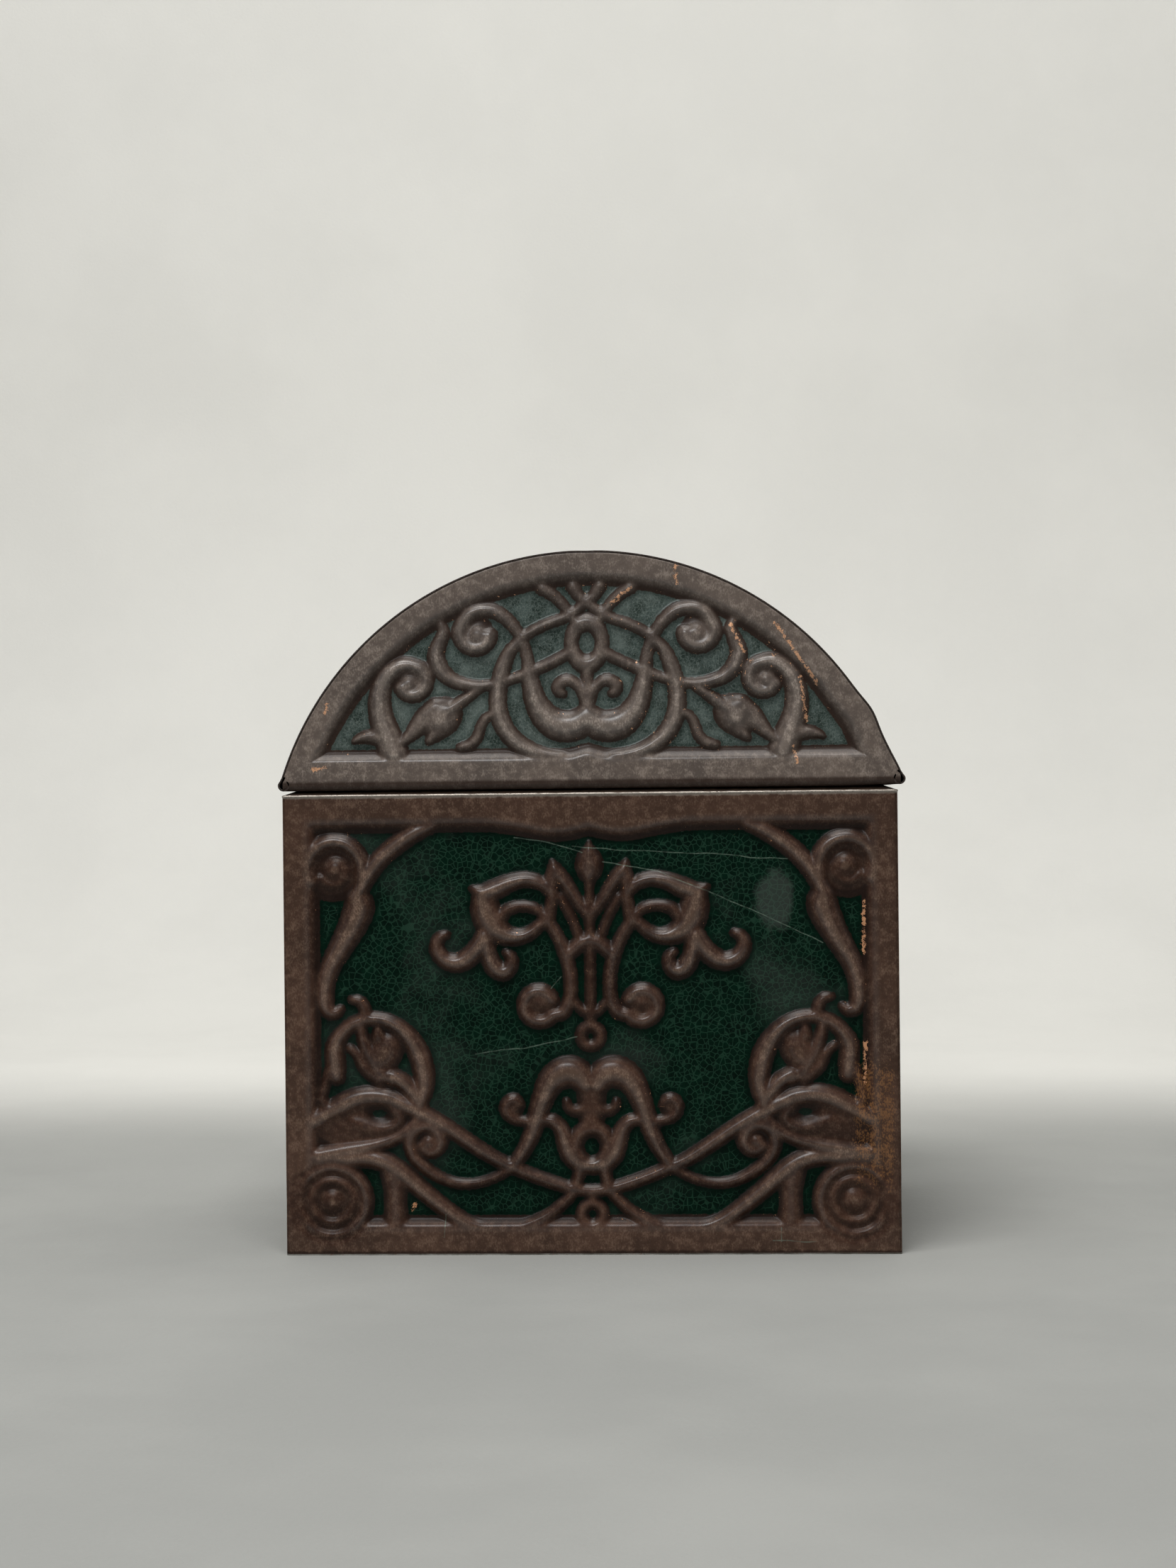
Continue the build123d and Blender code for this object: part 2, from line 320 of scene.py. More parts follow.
# ---------------------------------------------------------------- ornament of a wall
FIELD_HALF = 79.8
FIELD_LOW = 11.0
CREST_MIDDLE = 93.0  # the height that the crests on the cover are turned about
SIDE_FORMS = 43.0  # forms further out than this keep their shape on a narrow wall
ROSETTE_X, ROSETTE_Z = 76.4, 15.6  # a wall's rosettes. The cover's crown runs through theirs
TOP_EDGE = (
    (0, 122.7), (4, 121.7), (8, 121.1), (12, 121.2), (16, 121.9), (20, 122.7), (26, 123.6),
    (34, 124.1), (80, 123.9),
)
BORDER_ROLL = 3.0  # width over which a wall's border rolls down to the ground


def wall_border(r):
    """The flat border: a straight-sided frame whose upper edge is bracket shaped, pointed in the middle."""
    curve = smooth(TOP_EDGE)
    top = r.up - np.interp(r.across, r.fit(*np.pad(curve, [(0, 0), (0, 1)]))[:, 0], curve[:, 1])
    side = r.across - r.fit((FIELD_HALF, 0, 0))[0, 0]
    r.region(np.maximum(np.maximum(top, side), FIELD_LOW - r.up), BORDER_ROLL)


def eyelet(r, up, radius, hole):
    """A small ring on the middle line, open to the ground."""
    r.oval(0, up, radius, top=0.9, hollow=1.6)
    r.pierce(0, up, hole)


def corner_scroll(r):
    """In an upper corner: an arc from the border, a volute round a pearl, a leaf stalk with a hook."""
    r.stroke(
        (46, 125.6, 1.8), (51, 123.7, 2.4), (56, 120.6, 2.6), (60.5, 117, 2.6), (64.3, 112.6, 2.6),
        (67, 108.2, 2.5), (68.4, 105, 2.0),
    )
    r.stroke(
        (68.2, 104.4, 3.4), (67.8, 102, 4.3), (69.2, 98, 4.1), (71.4, 93.6, 3.6), (73.8, 89.4, 3.2),
        (76.3, 84.8, 2.8), (77.9, 80, 2.7), (78.2, 75, 2.5), (77.2, 71.6, 2.1), (75, 70.9, 1.7),
        (73.5, 72.1, 1.1),
    )
    r.oval(75.3, 113.4, 9.4, top=0.12)
    r.stroke((67.2, 106.5, 1.8), *spiral((75.3, 113.2), 195, -30, (8.6, 7.6), (2.4, 2.4)), top=1.1)
    r.stroke(*spiral((75.1, 112.5), -25, -185, (4.3, 3.6), (1.2, 1.4), 7), top=0.75)
    r.oval(74.6, 113.0, 3.8, top=1.14)


def bud_branch(r):
    """At the side: a branch arched over a tulip bud, with a knob on top and a hooked tail."""
    r.stroke((66.2, 69.3, 1.5), (66.4, 72.2, 1.6), (68, 74.4, 1.5), (70.3, 74.8, 1.0))
    r.stroke(
        (74.8, 52.2, 2.3), (75.2, 56.5, 2.8), (75.4, 60.8, 2.6), (73.4, 64.6, 2.2), (70, 67.6, 2.0),
        (66, 69, 1.9), (61.5, 68.9, 2.0), (57, 67, 2.2), (53.2, 63.4, 2.6), (50.5, 58.6, 3.0),
        (49.2, 53.4, 3.0), (49.3, 48.4, 2.7), (50.6, 44.2, 2.2),
    )
    r.stroke((77, 54.5, 1.2), (78.2, 50, 1.3), (79.2, 46, 1.4), (78.2, 43.5, 1.6))
    r.oval(60.9, 58.8, (7.4, 5.0), turn=124, top=1.05)
    r.stroke((62.4, 63.5, 2.2), (62.6, 66.4, 1.0), top=0.95)
    r.stroke(
        (67.6, 67.6, 1.2), (67, 63.2, 1.7), (65, 58.2, 2.0), (61.8, 53.4, 2.2), (58.5, 51, 2.0),
        top=1.0,
    )
    r.stroke((71.2, 60.7, 1.1), (68.7, 58.7, 1.4), (66.4, 54.4, 1.7), (62, 51, 2.0), top=0.9)
    r.stroke((58.6, 52.6, 2.2), (55, 50.2, 2.5), (51.6, 46.6, 2.4), (50, 43.5, 2.0))


def main_stem(r):
    """From the side border a thick stem that thins to the panel's middle line."""
    r.stroke(
        (82, 39, 3.2), (76, 42, 3.3), (71, 44.9, 3.3), (66, 46.3, 3.1), (60.5, 46, 2.9),
        (55.3, 44, 2.7), (50, 41.4, 2.5), (45, 38.7, 2.3), (40, 35.6, 2.2), (34, 31.5, 2.1),
        (28, 27.8, 2.0), (22, 25, 1.9), (16, 22.5, 1.8), (10, 20.4, 1.8), (5, 19, 1.7), (0, 18.4, 1.7),
    )


def eye_leaf(r):
    """Below the stem: a leaf shaped like an eye, its lid a crescent and its middle a curled leaf."""
    r.oval(69.5, 37.5, (15, 7.5), turn=4, top=0.55)
    r.stroke(
        (51, 39.5, 1.6), (54.5, 36, 1.8), (59, 33.6, 1.9), (65, 31.9, 2.1), (72, 30.6, 2.6),
        (81, 29, 2.6),
    )
    r.stroke(
        (61, 41.8, 0.9), (58, 42, 1.4), (56.2, 40, 1.7), (57.8, 37.8, 1.7), (62, 36.7, 2.2),
        (66.5, 37.6, 3.0), (69.6, 38.8, 2.2), top=0.95,
    )
    r.pierce(62.4, 41.3, (2.6, 1.4))


def lower_line(r):
    """A line that leaves the side border above the rosette and runs into the lower border, on a strut."""
    r.stroke(
        (80, 26.8, 2.6), (72.5, 28, 2.7), (67.5, 28.5, 2.8), (62.5, 27.7, 2.9), (58, 25.3, 2.9),
        (54, 22.2, 2.7), (50, 18.8, 2.5), (46, 15.5, 2.4), (42, 12.4, 2.3), (38, 9.8, 2.2),
        (33, 8, 2.0), (26, 7.4, 1.8), (16, 7.4, 1.4), (6, 7.2, 0.6),
    )
    r.stroke((57.6, 8, 3.8), (57.9, 14, 3.1), (57.9, 19, 3.2), (58.4, 24, 3.8), top=0.9)


def rosette(r):
    """Two rings round a dome, in a shallow dish."""
    place = (ROSETTE_X, ROSETTE_Z)
    r.oval(*place, 12, top=0.4)
    r.sink(*place, 11.6, 0.2)
    r.oval(*place, 10, top=1.04, hollow=1.9)
    r.oval(*place, 6.2, top=0.98, hollow=1.5)
    r.oval(*place, 4.2, top=1.08)


def curl_under(r):
    """From the stem a thin line that dips and rises into a curl under the stem."""
    r.stroke(
        (23.5, 25, 1.1), (28, 22.7, 1.3), (33, 21, 1.3), (38, 20.6, 1.4), (43, 21.8, 1.5),
        (48, 24.6, 1.7), (51.8, 28, 1.8), *spiral((48.6, 33), -20, 190, (5.0, 4.2), (1.9, 2.0)),
        *spiral((48.2, 32.8), 230, 330, (3.4, 2.0), (1.7, 1.5), 4),
    )
    r.oval(48, 32.7, 2.7, top=1.0)


def heart_motif(r):
    """On the middle line, above and below the stem: two thick lobes, a cup round a ring, curls and legs."""
    r.stroke((0, 50, 4.4), (0, 45, 3.9), (0, 40, 3.6), top=0.62)
    r.stroke(
        (1.5, 49.5, 3.2), (4, 52.6, 4.3), (7.6, 53.2, 4.5), (11.4, 50.9, 3.9), (14, 46.2, 3.1),
        (15.8, 41, 2.7), (17.3, 36, 2.4), (19.4, 31.4, 2.1), (22, 27.4, 1.9), (24, 25, 1.7),
    )
    r.stroke((1.5, 42.6, 2.0), (4.5, 41.8, 1.6), (6.7, 42.7, 1.3), (7.3, 44.6, 1.0), top=0.7)
    r.stroke(
        (16, 38.6, 1.3), (20, 38.9, 1.4), (23.6, 40, 1.5), (25.2, 42.4, 1.6), (24.4, 44.8, 1.6),
        (22.2, 45.2, 1.5), (21, 43.6, 1.2),
    )
    r.oval(23, 43, 2.8, top=0.6)
    r.oval(0, 31.4, 7.4, top=0.45)
    r.stroke(
        (14.6, 39.2, 1.5), (11.4, 38.9, 1.9), (9, 36.6, 2.1), (7.7, 32.8, 2.5), (6.2, 29, 2.8),
        (3.4, 26.6, 2.8), (0, 25.9, 2.7),
    )
    r.oval(0.2, 31.6, (4.4, 4.9), top=0.95, hollow=1.6)
    r.stroke((0, 39, 1.8), (2.6, 37.4, 1.2), (5, 35, 1.0), top=0.8)
    r.pierce(0, 31.4, (2.5, 3.0))
    r.stroke(
        (3.4, 25, 1.7), (4.4, 21.6, 1.6), (5.6, 18.2, 1.5), (8.4, 15, 1.5), (12, 12, 1.6),
        (16, 9.8, 1.8), (20, 8.6, 1.4),
    )
    r.stroke((0, 18, 1.4), (0, 14.5, 1.5), top=0.75)
    eyelet(r, 11.6, 3.1, 1.5)


def crest(r):
    """At the top of the middle line: a drop on a stalk, spear leaves, trumpets, hooks and a lyre."""
    r.stroke(
        (0, 120.6, 0.3), (0, 118.6, 1.2), (0, 116.4, 2.7), (0, 114.2, 3.9), (0, 112.2, 3.3),
        (0, 110.4, 2.0), top=1.05,
    )
    r.stroke(
        (0, 110.5, 1.6), (0, 108, 1.2), (0, 105, 1.1), (0, 102, 1.9), (0, 99, 1.7), (0, 96, 1.2),
        (0, 93, 1.2), top=0.8,
    )
    r.stroke(
        (10.9, 115, 0.5), (10, 112.6, 1.8), (7.9, 110, 2.0), (5.8, 106.8, 1.8), (3.4, 103, 1.6),
        (0.8, 99.6, 1.5),
    )
    r.stroke(
        (10.9, 114, 0.8), (11.1, 109.6, 1.8), (10.9, 105, 1.6), (11.6, 100.5, 1.6), (12, 97.5, 1.7),
    )
    r.stroke((8.6, 104.6, 1.2), (6.2, 100.2, 1.3), (4.6, 96.6, 1.2), (3.2, 93, 1.3), top=0.72)
    r.stroke((6.6, 87.4, 1.8), (4.6, 89.4, 2.1), (2.4, 91.2, 2.2), (0, 92, 2.2), top=1.0)
    r.stroke(
        (14, 99, 1.2), (11.6, 96.4, 1.6), (9.2, 92.6, 1.7), (7.4, 88.2, 1.8), (6.1, 83.6, 1.8),
        (5.7, 79, 1.8), (6.1, 74.6, 1.8), (8, 70.8, 1.9),
        *spiral((15, 72.9), 215, 520, (5.0, 3.9), (2.0, 2.1), 13),
    )
    r.oval(14.8, 73.2, 5.2, top=0.4)
    r.oval(14.9, 73.9, 2.9, top=1.0)
    r.stroke((0, 90, 1.4), (0, 82, 1.4), (0, 74, 1.4), (0, 68.5, 1.6), top=0.75)
    r.stroke((5, 74.2, 1.1), (2.6, 71.4, 1.3), (0, 70.2, 1.5), top=0.75)
    eyelet(r, 63.7, 2.8, 1.25)
    r.stroke(
        (11.4, 106, 1.5), (14.2, 108.6, 1.9), (18.6, 109.7, 2.1), (23.2, 108.8, 2.4),
        (27.6, 106.9, 2.8), (31.4, 106, 2.2), (34.6, 107.2, 0.7),
    )
    r.stroke(
        (32.8, 106.2, 1.4), (31.2, 104, 3.2), (30.4, 100.4, 4.3), (28.9, 96.8, 4.1), (25.6, 93.9, 3.1),
        (21.4, 92.9, 2.3), (17.6, 94, 1.9), (14.6, 96.4, 1.6), (12.4, 98.4, 1.4),
    )
    r.stroke(
        (12.8, 99, 1.1), (16, 101.2, 1.4), (20.3, 101.9, 1.5), (24.2, 100.8, 1.7), (26.2, 98.6, 1.8),
        top=0.85,
    )
    r.stroke(
        (31, 93.4, 2.4), (32.6, 90.4, 2.6), (35.6, 87, 2.8), (39.4, 85.4, 2.6), (43, 86.6, 2.3),
        (45, 89.6, 2.0), (44.4, 92.6, 1.6), (42.2, 93.7, 1.1),
    )
    r.stroke(
        (30.6, 92.6, 2.4), (29.8, 88, 2.3), (28.2, 84.2, 2.6), (25.5, 82.6, 2.4), (23.4, 84.2, 2.0),
        (23.1, 86.8, 1.6), (24.7, 88.3, 1.0),
    )


# ---------------------------------------------------------------- ornament of the lid's ends
LUNETTE_BORDER = 9.8
LUNETTE_ROLL = 3.4
LUNETTE_LOW = ((0, 149.3), (2.5, 148.6), (5, 147.9), (8, 147.6), (12, 147.8), (30, 147.8), (95, 147.8))


def lunette_ornament(r):
    """An arched end of the lid: border, crescent, lyre, an oval on a ladder of bars, buds and volutes."""
    curve = smooth(LUNETTE_LOW)
    arch = np.hypot(r.across, r.up - ARCH_Z) - (ARCH_OUT - LUNETTE_BORDER)
    r.region(np.maximum(arch, np.interp(r.across, curve[:, 0], curve[:, 1]) - r.up), LUNETTE_ROLL)
    r.stroke(
        (0, 157.4, 3.6), (3.4, 154.9, 4.3), (8, 154.7, 4.4), (12, 157, 3.9), (15, 161.6, 3.1),
        (16.4, 166.6, 2.5), (17, 171, 1.9), (17.7, 175.6, 1.5), (19.3, 180.4, 1.5), (22, 184.6, 1.7),
        (26, 187.9, 1.9), (30.6, 188.9, 2.0), (34.8, 187.3, 2.1),
        *spiral((32.2, 182), 10, -170, (5.0, 3.6), (2.3, 2.3)),
    )
    r.oval(32.1, 181.2, 3.4, top=1.1)
    r.oval(32.6, 182, 5, top=0.4)
    r.stroke(
        (19.4, 180, 1.3), (22.4, 176.8, 1.7), (24.6, 172, 2.1), (25.9, 166.6, 2.3), (26.3, 161.4, 2.4),
        (25.5, 156.8, 2.5), (23.5, 152.9, 2.5), (20.4, 149.7, 2.4), (16.4, 147.4, 2.2),
        (12, 146.2, 1.8), (7, 145.9, 1.2),
    )
    r.oval(0, 178.8, (4.5, 6.2), top=1.0, hollow=2.2)
    r.stroke((3, 173.5, 1.6), (0, 170.8, 1.8), (0, 166.5, 1.5), (0, 162, 1.7), (0, 158.5, 2.2), top=0.9)
    r.stroke(
        (0.6, 161, 1.4), (1.5, 164.4, 1.4), (3.4, 166.9, 1.4), (6, 168, 1.6), (8.3, 166.6, 1.7),
        (8.4, 164.7, 1.4), (7, 163.9, 0.9), top=0.9,
    )
    r.stroke((3.9, 195.4, 1.9), (2.3, 192.7, 1.5), (0, 190.9, 1.4), (-2.6, 188.8, 1.3), top=0.85)
    r.stroke(
        (-1.5, 192, 1.2), (0, 190.9, 1.3), (2.5, 188.7, 1.3), (4.9, 187, 1.4), (8, 185.7, 1.4),
        (12, 184.3, 1.4), (16, 182.4, 1.4), (19.4, 180.2, 1.3),
    )
    r.stroke(
        (2.6, 183.6, 1.3), (4.7, 187, 1.3), (7, 190.2, 1.4), (9.8, 192.9, 1.5), (13, 195, 1.8),
        top=0.85,
    )
    r.stroke(
        (5.4, 175.8, 1.5), (9, 173.9, 1.5), (13, 172, 1.5), (17, 170.3, 1.5), (21, 168.8, 1.3),
        (25, 167.4, 1.2), top=0.85,
    )
    r.stroke(
        (26, 167.2, 1.2), (31, 166.6, 1.4), (36, 167.1, 1.7), (40.4, 168.9, 2.0), (43.4, 172.2, 2.4),
        (44.3, 176, 2.3), (43.1, 179.6, 1.9), (42, 182.4, 1.6), (42.8, 184.8, 1.2),
    )
    r.stroke((31, 166, 1.0), (34.2, 163.9, 1.3), (37.6, 161.6, 1.7), (40.4, 159.6, 2.2))
    r.oval(43.3, 157.4, (6.6, 5.6), turn=-35, top=1.1)
    r.stroke((44.5, 160, 3.2), (47.8, 157, 3.1), (51, 153.5, 2.1), (54.4, 150.2, 1.1), top=0.95)
    r.stroke((44, 153.5, 2.6), (46.6, 150.6, 1.0), top=0.8)
    r.stroke(
        (57, 147, 4.2), (58.8, 152, 3.9), (60.6, 157.4, 3.4), (61.1, 162.4, 3.1), (60.2, 167.2, 2.8),
        (57.6, 171, 2.6), (53.8, 173, 2.3), *spiral((51.6, 168), 120, 330, (4.6, 3.4), (2.1, 2.2)),
    )
    r.oval(52.3, 167.3, 3.0, top=1.05)
    r.oval(51.8, 168.3, 4.6, top=0.4)
    r.stroke((59.5, 151, 2.2), (63.4, 152, 2.0), (66.6, 151.7, 1.4), (68.6, 150.8, 0.7), top=0.85)
    r.stroke(
        (27.4, 158.4, 1.0), (30, 157, 1.2), (31.5, 154.2, 1.3), (32.6, 151.2, 1.4), (34.8, 149.3, 1.4),
        (37.4, 148.6, 1.1), top=0.8,
    )
    r.soften()


def middle_forms(r, half_field, *forms):
    """Draws forms of the middle line, made narrower for a narrow field. They are a panel's last forms."""
    r.shift_by = 0.0
    r.across_scale = (half_field / FIELD_HALF) ** 0.8
    r.half_scale = sqrt(r.across_scale)
    for form in forms:
        form(r)
    r.soften()


def side_forms(r, half_field, *forms):
    """Draws the border and forms of the sides, moved in to a narrow field's sides."""
    r.shift_by = FIELD_HALF - half_field
    for form in (wall_border, corner_scroll, bud_branch, main_stem, eye_leaf, *forms, rosette, curl_under):
        form(r)


def wall_ornament(r, half_field):
    """A whole wall: the border and every form on it."""
    side_forms(r, half_field, lower_line)
    middle_forms(r, half_field, crest, heart_motif)


def cover_ornament(r, half_field):
    """The lid's cover: a wall's upper part on either side of the crown, its crests turned upright."""
    side_forms(r, half_field)
    r.up = 2 * CREST_MIDDLE - r.up
    middle_forms(r, half_field, crest)


# ---------------------------------------------------------------- shells of the pieces
MARGIN = 3.0  # coarser stretch of a wall beside its bends and edges
BEND_GAPS = [1.0, 0.42, 1.5]  # spacing of points across a margin, round a bend and along a flange
SIDE_BEND = 0.45  # radius of the side walls' rounded edges
STEP = 3  # how many times coarser than its outside a panel's inside is
COVER_STEP = 2
CORNER_POINTS, SIDE_POINTS = 7, 39  # round each corner of the collar, and between two corners
WAVER = 0.07  # how far the neck wanders
KNOCKS = ((60.5, 3.2, 1.0), (74, 5, 1.5))  # angle from the crown, width of the blow and its share of KNOCK
KNOCK_DEPTH = (20, 40)  # how far in front of the lid's middle the blow begins, and over what it grows
KNOCK_RADIUS = (78, 14)  # distance from the arch's centre where it begins, and over what it grows
ROLLED_CHORD, CURLED_CHORD = (140.0, 89.0), (139.1, 88.0)  # height and half length of a plate's lower edge
COLUMNS, ROWS = 331, 127  # points across and up that plate
ROLL_ROWS = 22  # points round its rolled edge
SEAT = 0.06  # from its flange to the cover
ROLL_START, CURL_START, ROLL_END = 60, 120, -180  # where a rolled edge and a curl begin and end, in degrees
ARCH_END = 72.1  # where the cover's arch gives way to its bead, in degrees from the crown
BEAD_ANGLES = (17, -230, 20)  # where the bead begins and ends, in degrees, and its number of points
JOG = (-0.08, 0.03)  # how far the bend before the bead lies off a straight line


def buckle(across, up, margin):
    """How far old thin sheet lies in from true: two crossed waves and a ripple, gone where margin is 0."""
    waves = 1 + 0.6 * np.sin(across / 21 + 0.8) * np.sin(up / 17 + 0.4) + 0.4 * np.sin(across / 9 + up / 13)
    return BUCKLE * waves * ease(margin / 14)


def erode(rise, reach):
    """The lowest rise within a square round each place, so that the inside never meets the outside."""
    for axis in (0, 1):
        padded = pad_along(rise, axis, reach)
        size = rise.shape[axis]
        rise = np.minimum.reduce([np.take(padded, range(i, i + size), axis) for i in range(2 * reach + 1)])
    return rise


def both_sides(surface, relief, step, shape):
    """A sheet's outer grid, its inner grid and what sheet_piece needs with them."""
    inner = surface(erode(relief.rise, step - 1), shape.sheet / MM)
    return surface(relief.rise, 0.0), inner, step, relief


def sheet_piece(name, node, body, surfaces, materials):
    """One object from closed sheets, each given as (outer grid, inner grid, step, relief or none)."""
    points, edges, rises = [], [], []
    faces = ([], [], [])
    start = 0
    for outer, inner, step, relief in surfaces:
        made, outside, inside, rim = shell(outer, inner[::step, ::step], step)
        for pile, part in zip(faces, (outside, rim, inside)):
            pile.append(part + start)
        edge, rise = np.full(len(made), FLAT_EDGE), np.ones(len(made))
        if relief:
            edge[: relief.edge.size] = np.clip(relief.edge, -relief.reach, FLAT_EDGE).ravel()
            rise[: relief.rise.size] = relief.rise.ravel()
        edges.append(edge)
        rises.append(rise)
        points.append(made)
        start += len(made)
    piles = [part for pile in faces for part in pile]
    kinds = [kind for kind, pile in enumerate(faces) for _ in pile]
    attributes = {"edge": np.concatenate(edges), "rise": np.concatenate(rises)}
    make_piece(name, np.vstack(points), piles, kinds, materials, body, attributes, [node])


def wall_piece(name, node, place, folded, shape, materials):
    """A pressed wall. Its sheet runs flat between two bends and, if folded, round them to short flanges.

    Across the wall the sheet's path is its length s from the middle. Depth behind the wall's face is that
    of the path, plus the pressing's depth times one less the rise.
    """
    half, bend = (FOLDED_HALF, BEND) if folded else (SIDE_HALF, SIDE_BEND)
    flat = half - bend
    arc = bend * pi / 2
    stops = [flat - MARGIN, flat, flat + arc]
    if folded:
        stops.append(flat + arc + FLANGE - bend)
    gaps = BEND_GAPS[: len(stops) - 1]
    fineness = shape.fineness / MM
    s = graded([-stop for stop in stops[::-1]] + stops, gaps[::-1] + [fineness] + gaps, STEP)
    z = graded([WALL_LOW, MARGIN, FIELD_TOP + 2, COLLAR_LOW], [0.9, fineness, 1.1], STEP)
    s, z = np.meshgrid(s, z, indexing="ij")
    lie = buckle(s, z, np.minimum(flat - np.abs(s), np.minimum(z - WALL_LOW, COLLAR_LOW - z)))
    relief = Relief(s, z)
    wall_ornament(relief, FIELD_HALF if folded else FIELD_HALF - (HALF_WIDTH - HALF_DEPTH))

    def surface(rise, inward):
        turn = np.clip((np.abs(s) - flat) / bend, 0, pi / 2)
        past = np.clip(np.abs(s) - flat - arc, 0, None)
        radius = bend - inward
        across = np.sign(s) * (np.minimum(np.abs(s), flat) + radius * np.sin(turn))
        depth = bend - radius * np.cos(turn) + past + lie + shape.press_depth / MM * (1 - rise)
        return place(across, depth, z)

    surfaces = [both_sides(surface, relief, STEP, shape)]
    sheet_piece(name, node, "box", surfaces, materials)


def collar_piece(materials):
    """The folded shoulder and the neck: a closed outline of the strip carried round a rounded rectangle.

    The outline goes up the outside and down the inside; each of its points has its own inset, height and
    corner radius, and each corner's centre lies that radius in from both sides.
    """
    fold = np.radians(np.linspace(-60, 90, 7))
    outline = [(0.35, FOLD_Z, 0.6), (0.12, FOLD_Z - 0.5, 0.8)]
    outline += [(0.26 - FOLD * cos(t), FOLD_Z + FOLD * sin(t), 0.8) for t in fold]
    outline += [(0.8, 135.22, 0.85), (1.8, 135.6, 1.0), (3.0, 136.04, 1.2), (3.8, 136.36, 1.35)]
    outline += [(4.1, 136.62, 1.4), *((NECK, z, 1.4) for z in (137, 138.4, 140, 141.4))]
    outline += [(NECK - 0.1, 141.8, 1.4), (NECK - 0.12, 142.4, 1.4), (NECK, 142.86, 1.35)]
    outline += [(NECK + 0.2, 143, 1.2), (NECK + 0.42, 142.8, 1.05), (NECK + 0.44, 142, 1.0)]
    outline += [(NECK + 0.4, z, 1.0) for z in (141, 139.4, 138, 136.7)]
    outline += [(4.3, 136.12, 1.1), (3.2, 135.62, 1.05), (1.8, 135.12, 1.0), (0.8, 134.78, 0.8)]
    inset, height, radius = smooth(outline + outline[:1], 2)[:-1].T
    corner = np.radians(np.linspace(0, 90, CORNER_POINTS))
    corners = []
    for quarter, (right, back) in enumerate(((1, 1), (-1, 1), (-1, -1), (1, -1))):
        centre = np.stack([right * (HALF_WIDTH - inset - radius), back * (HALF_DEPTH - inset - radius)], -1)
        angle = corner + quarter * pi / 2
        corners.append(centre + radius[:, None] * np.stack([np.cos(angle), np.sin(angle)], -1)[:, None])
    ring = []
    for here, there in zip(corners, corners[1:] + corners[:1]):
        share = np.linspace(0, 1, SIDE_POINTS + 2)[1:-1, None, None]
        ring += [here, here[-1] + (there[0] - here[-1]) * share]
    plan = np.concatenate(ring)
    level = np.broadcast_to(height, plan.shape[:2])[..., None]
    waver = WAVER * np.sin(plan[..., :1] * 0.11 + plan[..., 1:] * 0.17) * (level > 136)
    points = np.concatenate([plan + waver, level], -1).reshape(-1, 3)
    index = np.pad(np.arange(level.size).reshape(plan.shape[:2]), (0, 1), mode="wrap")
    name, slot = "shoulder_and_neck", "dark_lacquer"
    make_piece(name, points, [quads(index)], [0], materials, "box", stands_for=["neck_collar"])


def knocked(points):
    """The lid's front right shoulder, knocked out to a low corner: a push out from the arch's centre.

    The push is two bell curves of the angle round the arch and fades to nothing going back from the front.
    """
    x, z = points[..., 0], points[..., 2] - ARCH_Z
    angle = np.degrees(np.arctan2(x, z))
    radius = np.hypot(x, z)
    bells = (share * np.exp(-(((angle - middle) / width) ** 2)) for middle, width, share in KNOCKS)
    push = KNOCK * sum(bells)
    (depth, fade), (inside, growth) = KNOCK_DEPTH, KNOCK_RADIUS
    share = push * ease((-points[..., 1] - depth) / fade) * ease((radius - inside) / growth)
    points[..., 0] += share * x / radius
    points[..., 2] += share * z / radius
    return points


def stacked(*values):
    """A grid of places from their across, depth and height, stretched to one shape."""
    return np.stack(np.broadcast_arrays(*values), -1)


def rolled_rows(x, centre, radius, start, top, inward):
    """A rolled edge along x: round the roll from start, in degrees, then up to top."""
    angle = np.radians(np.linspace(start, ROLL_END, ROLL_ROWS))
    climb = centre[1] + (top - centre[1]) * np.array([1, 2]) / 3
    depth = np.concatenate([centre[0] + (radius - inward) * np.cos(angle), np.full(2, inward)])
    height = np.concatenate([centre[1] + (radius - inward) * np.sin(angle), climb])
    return stacked(x[:, None], depth, height)


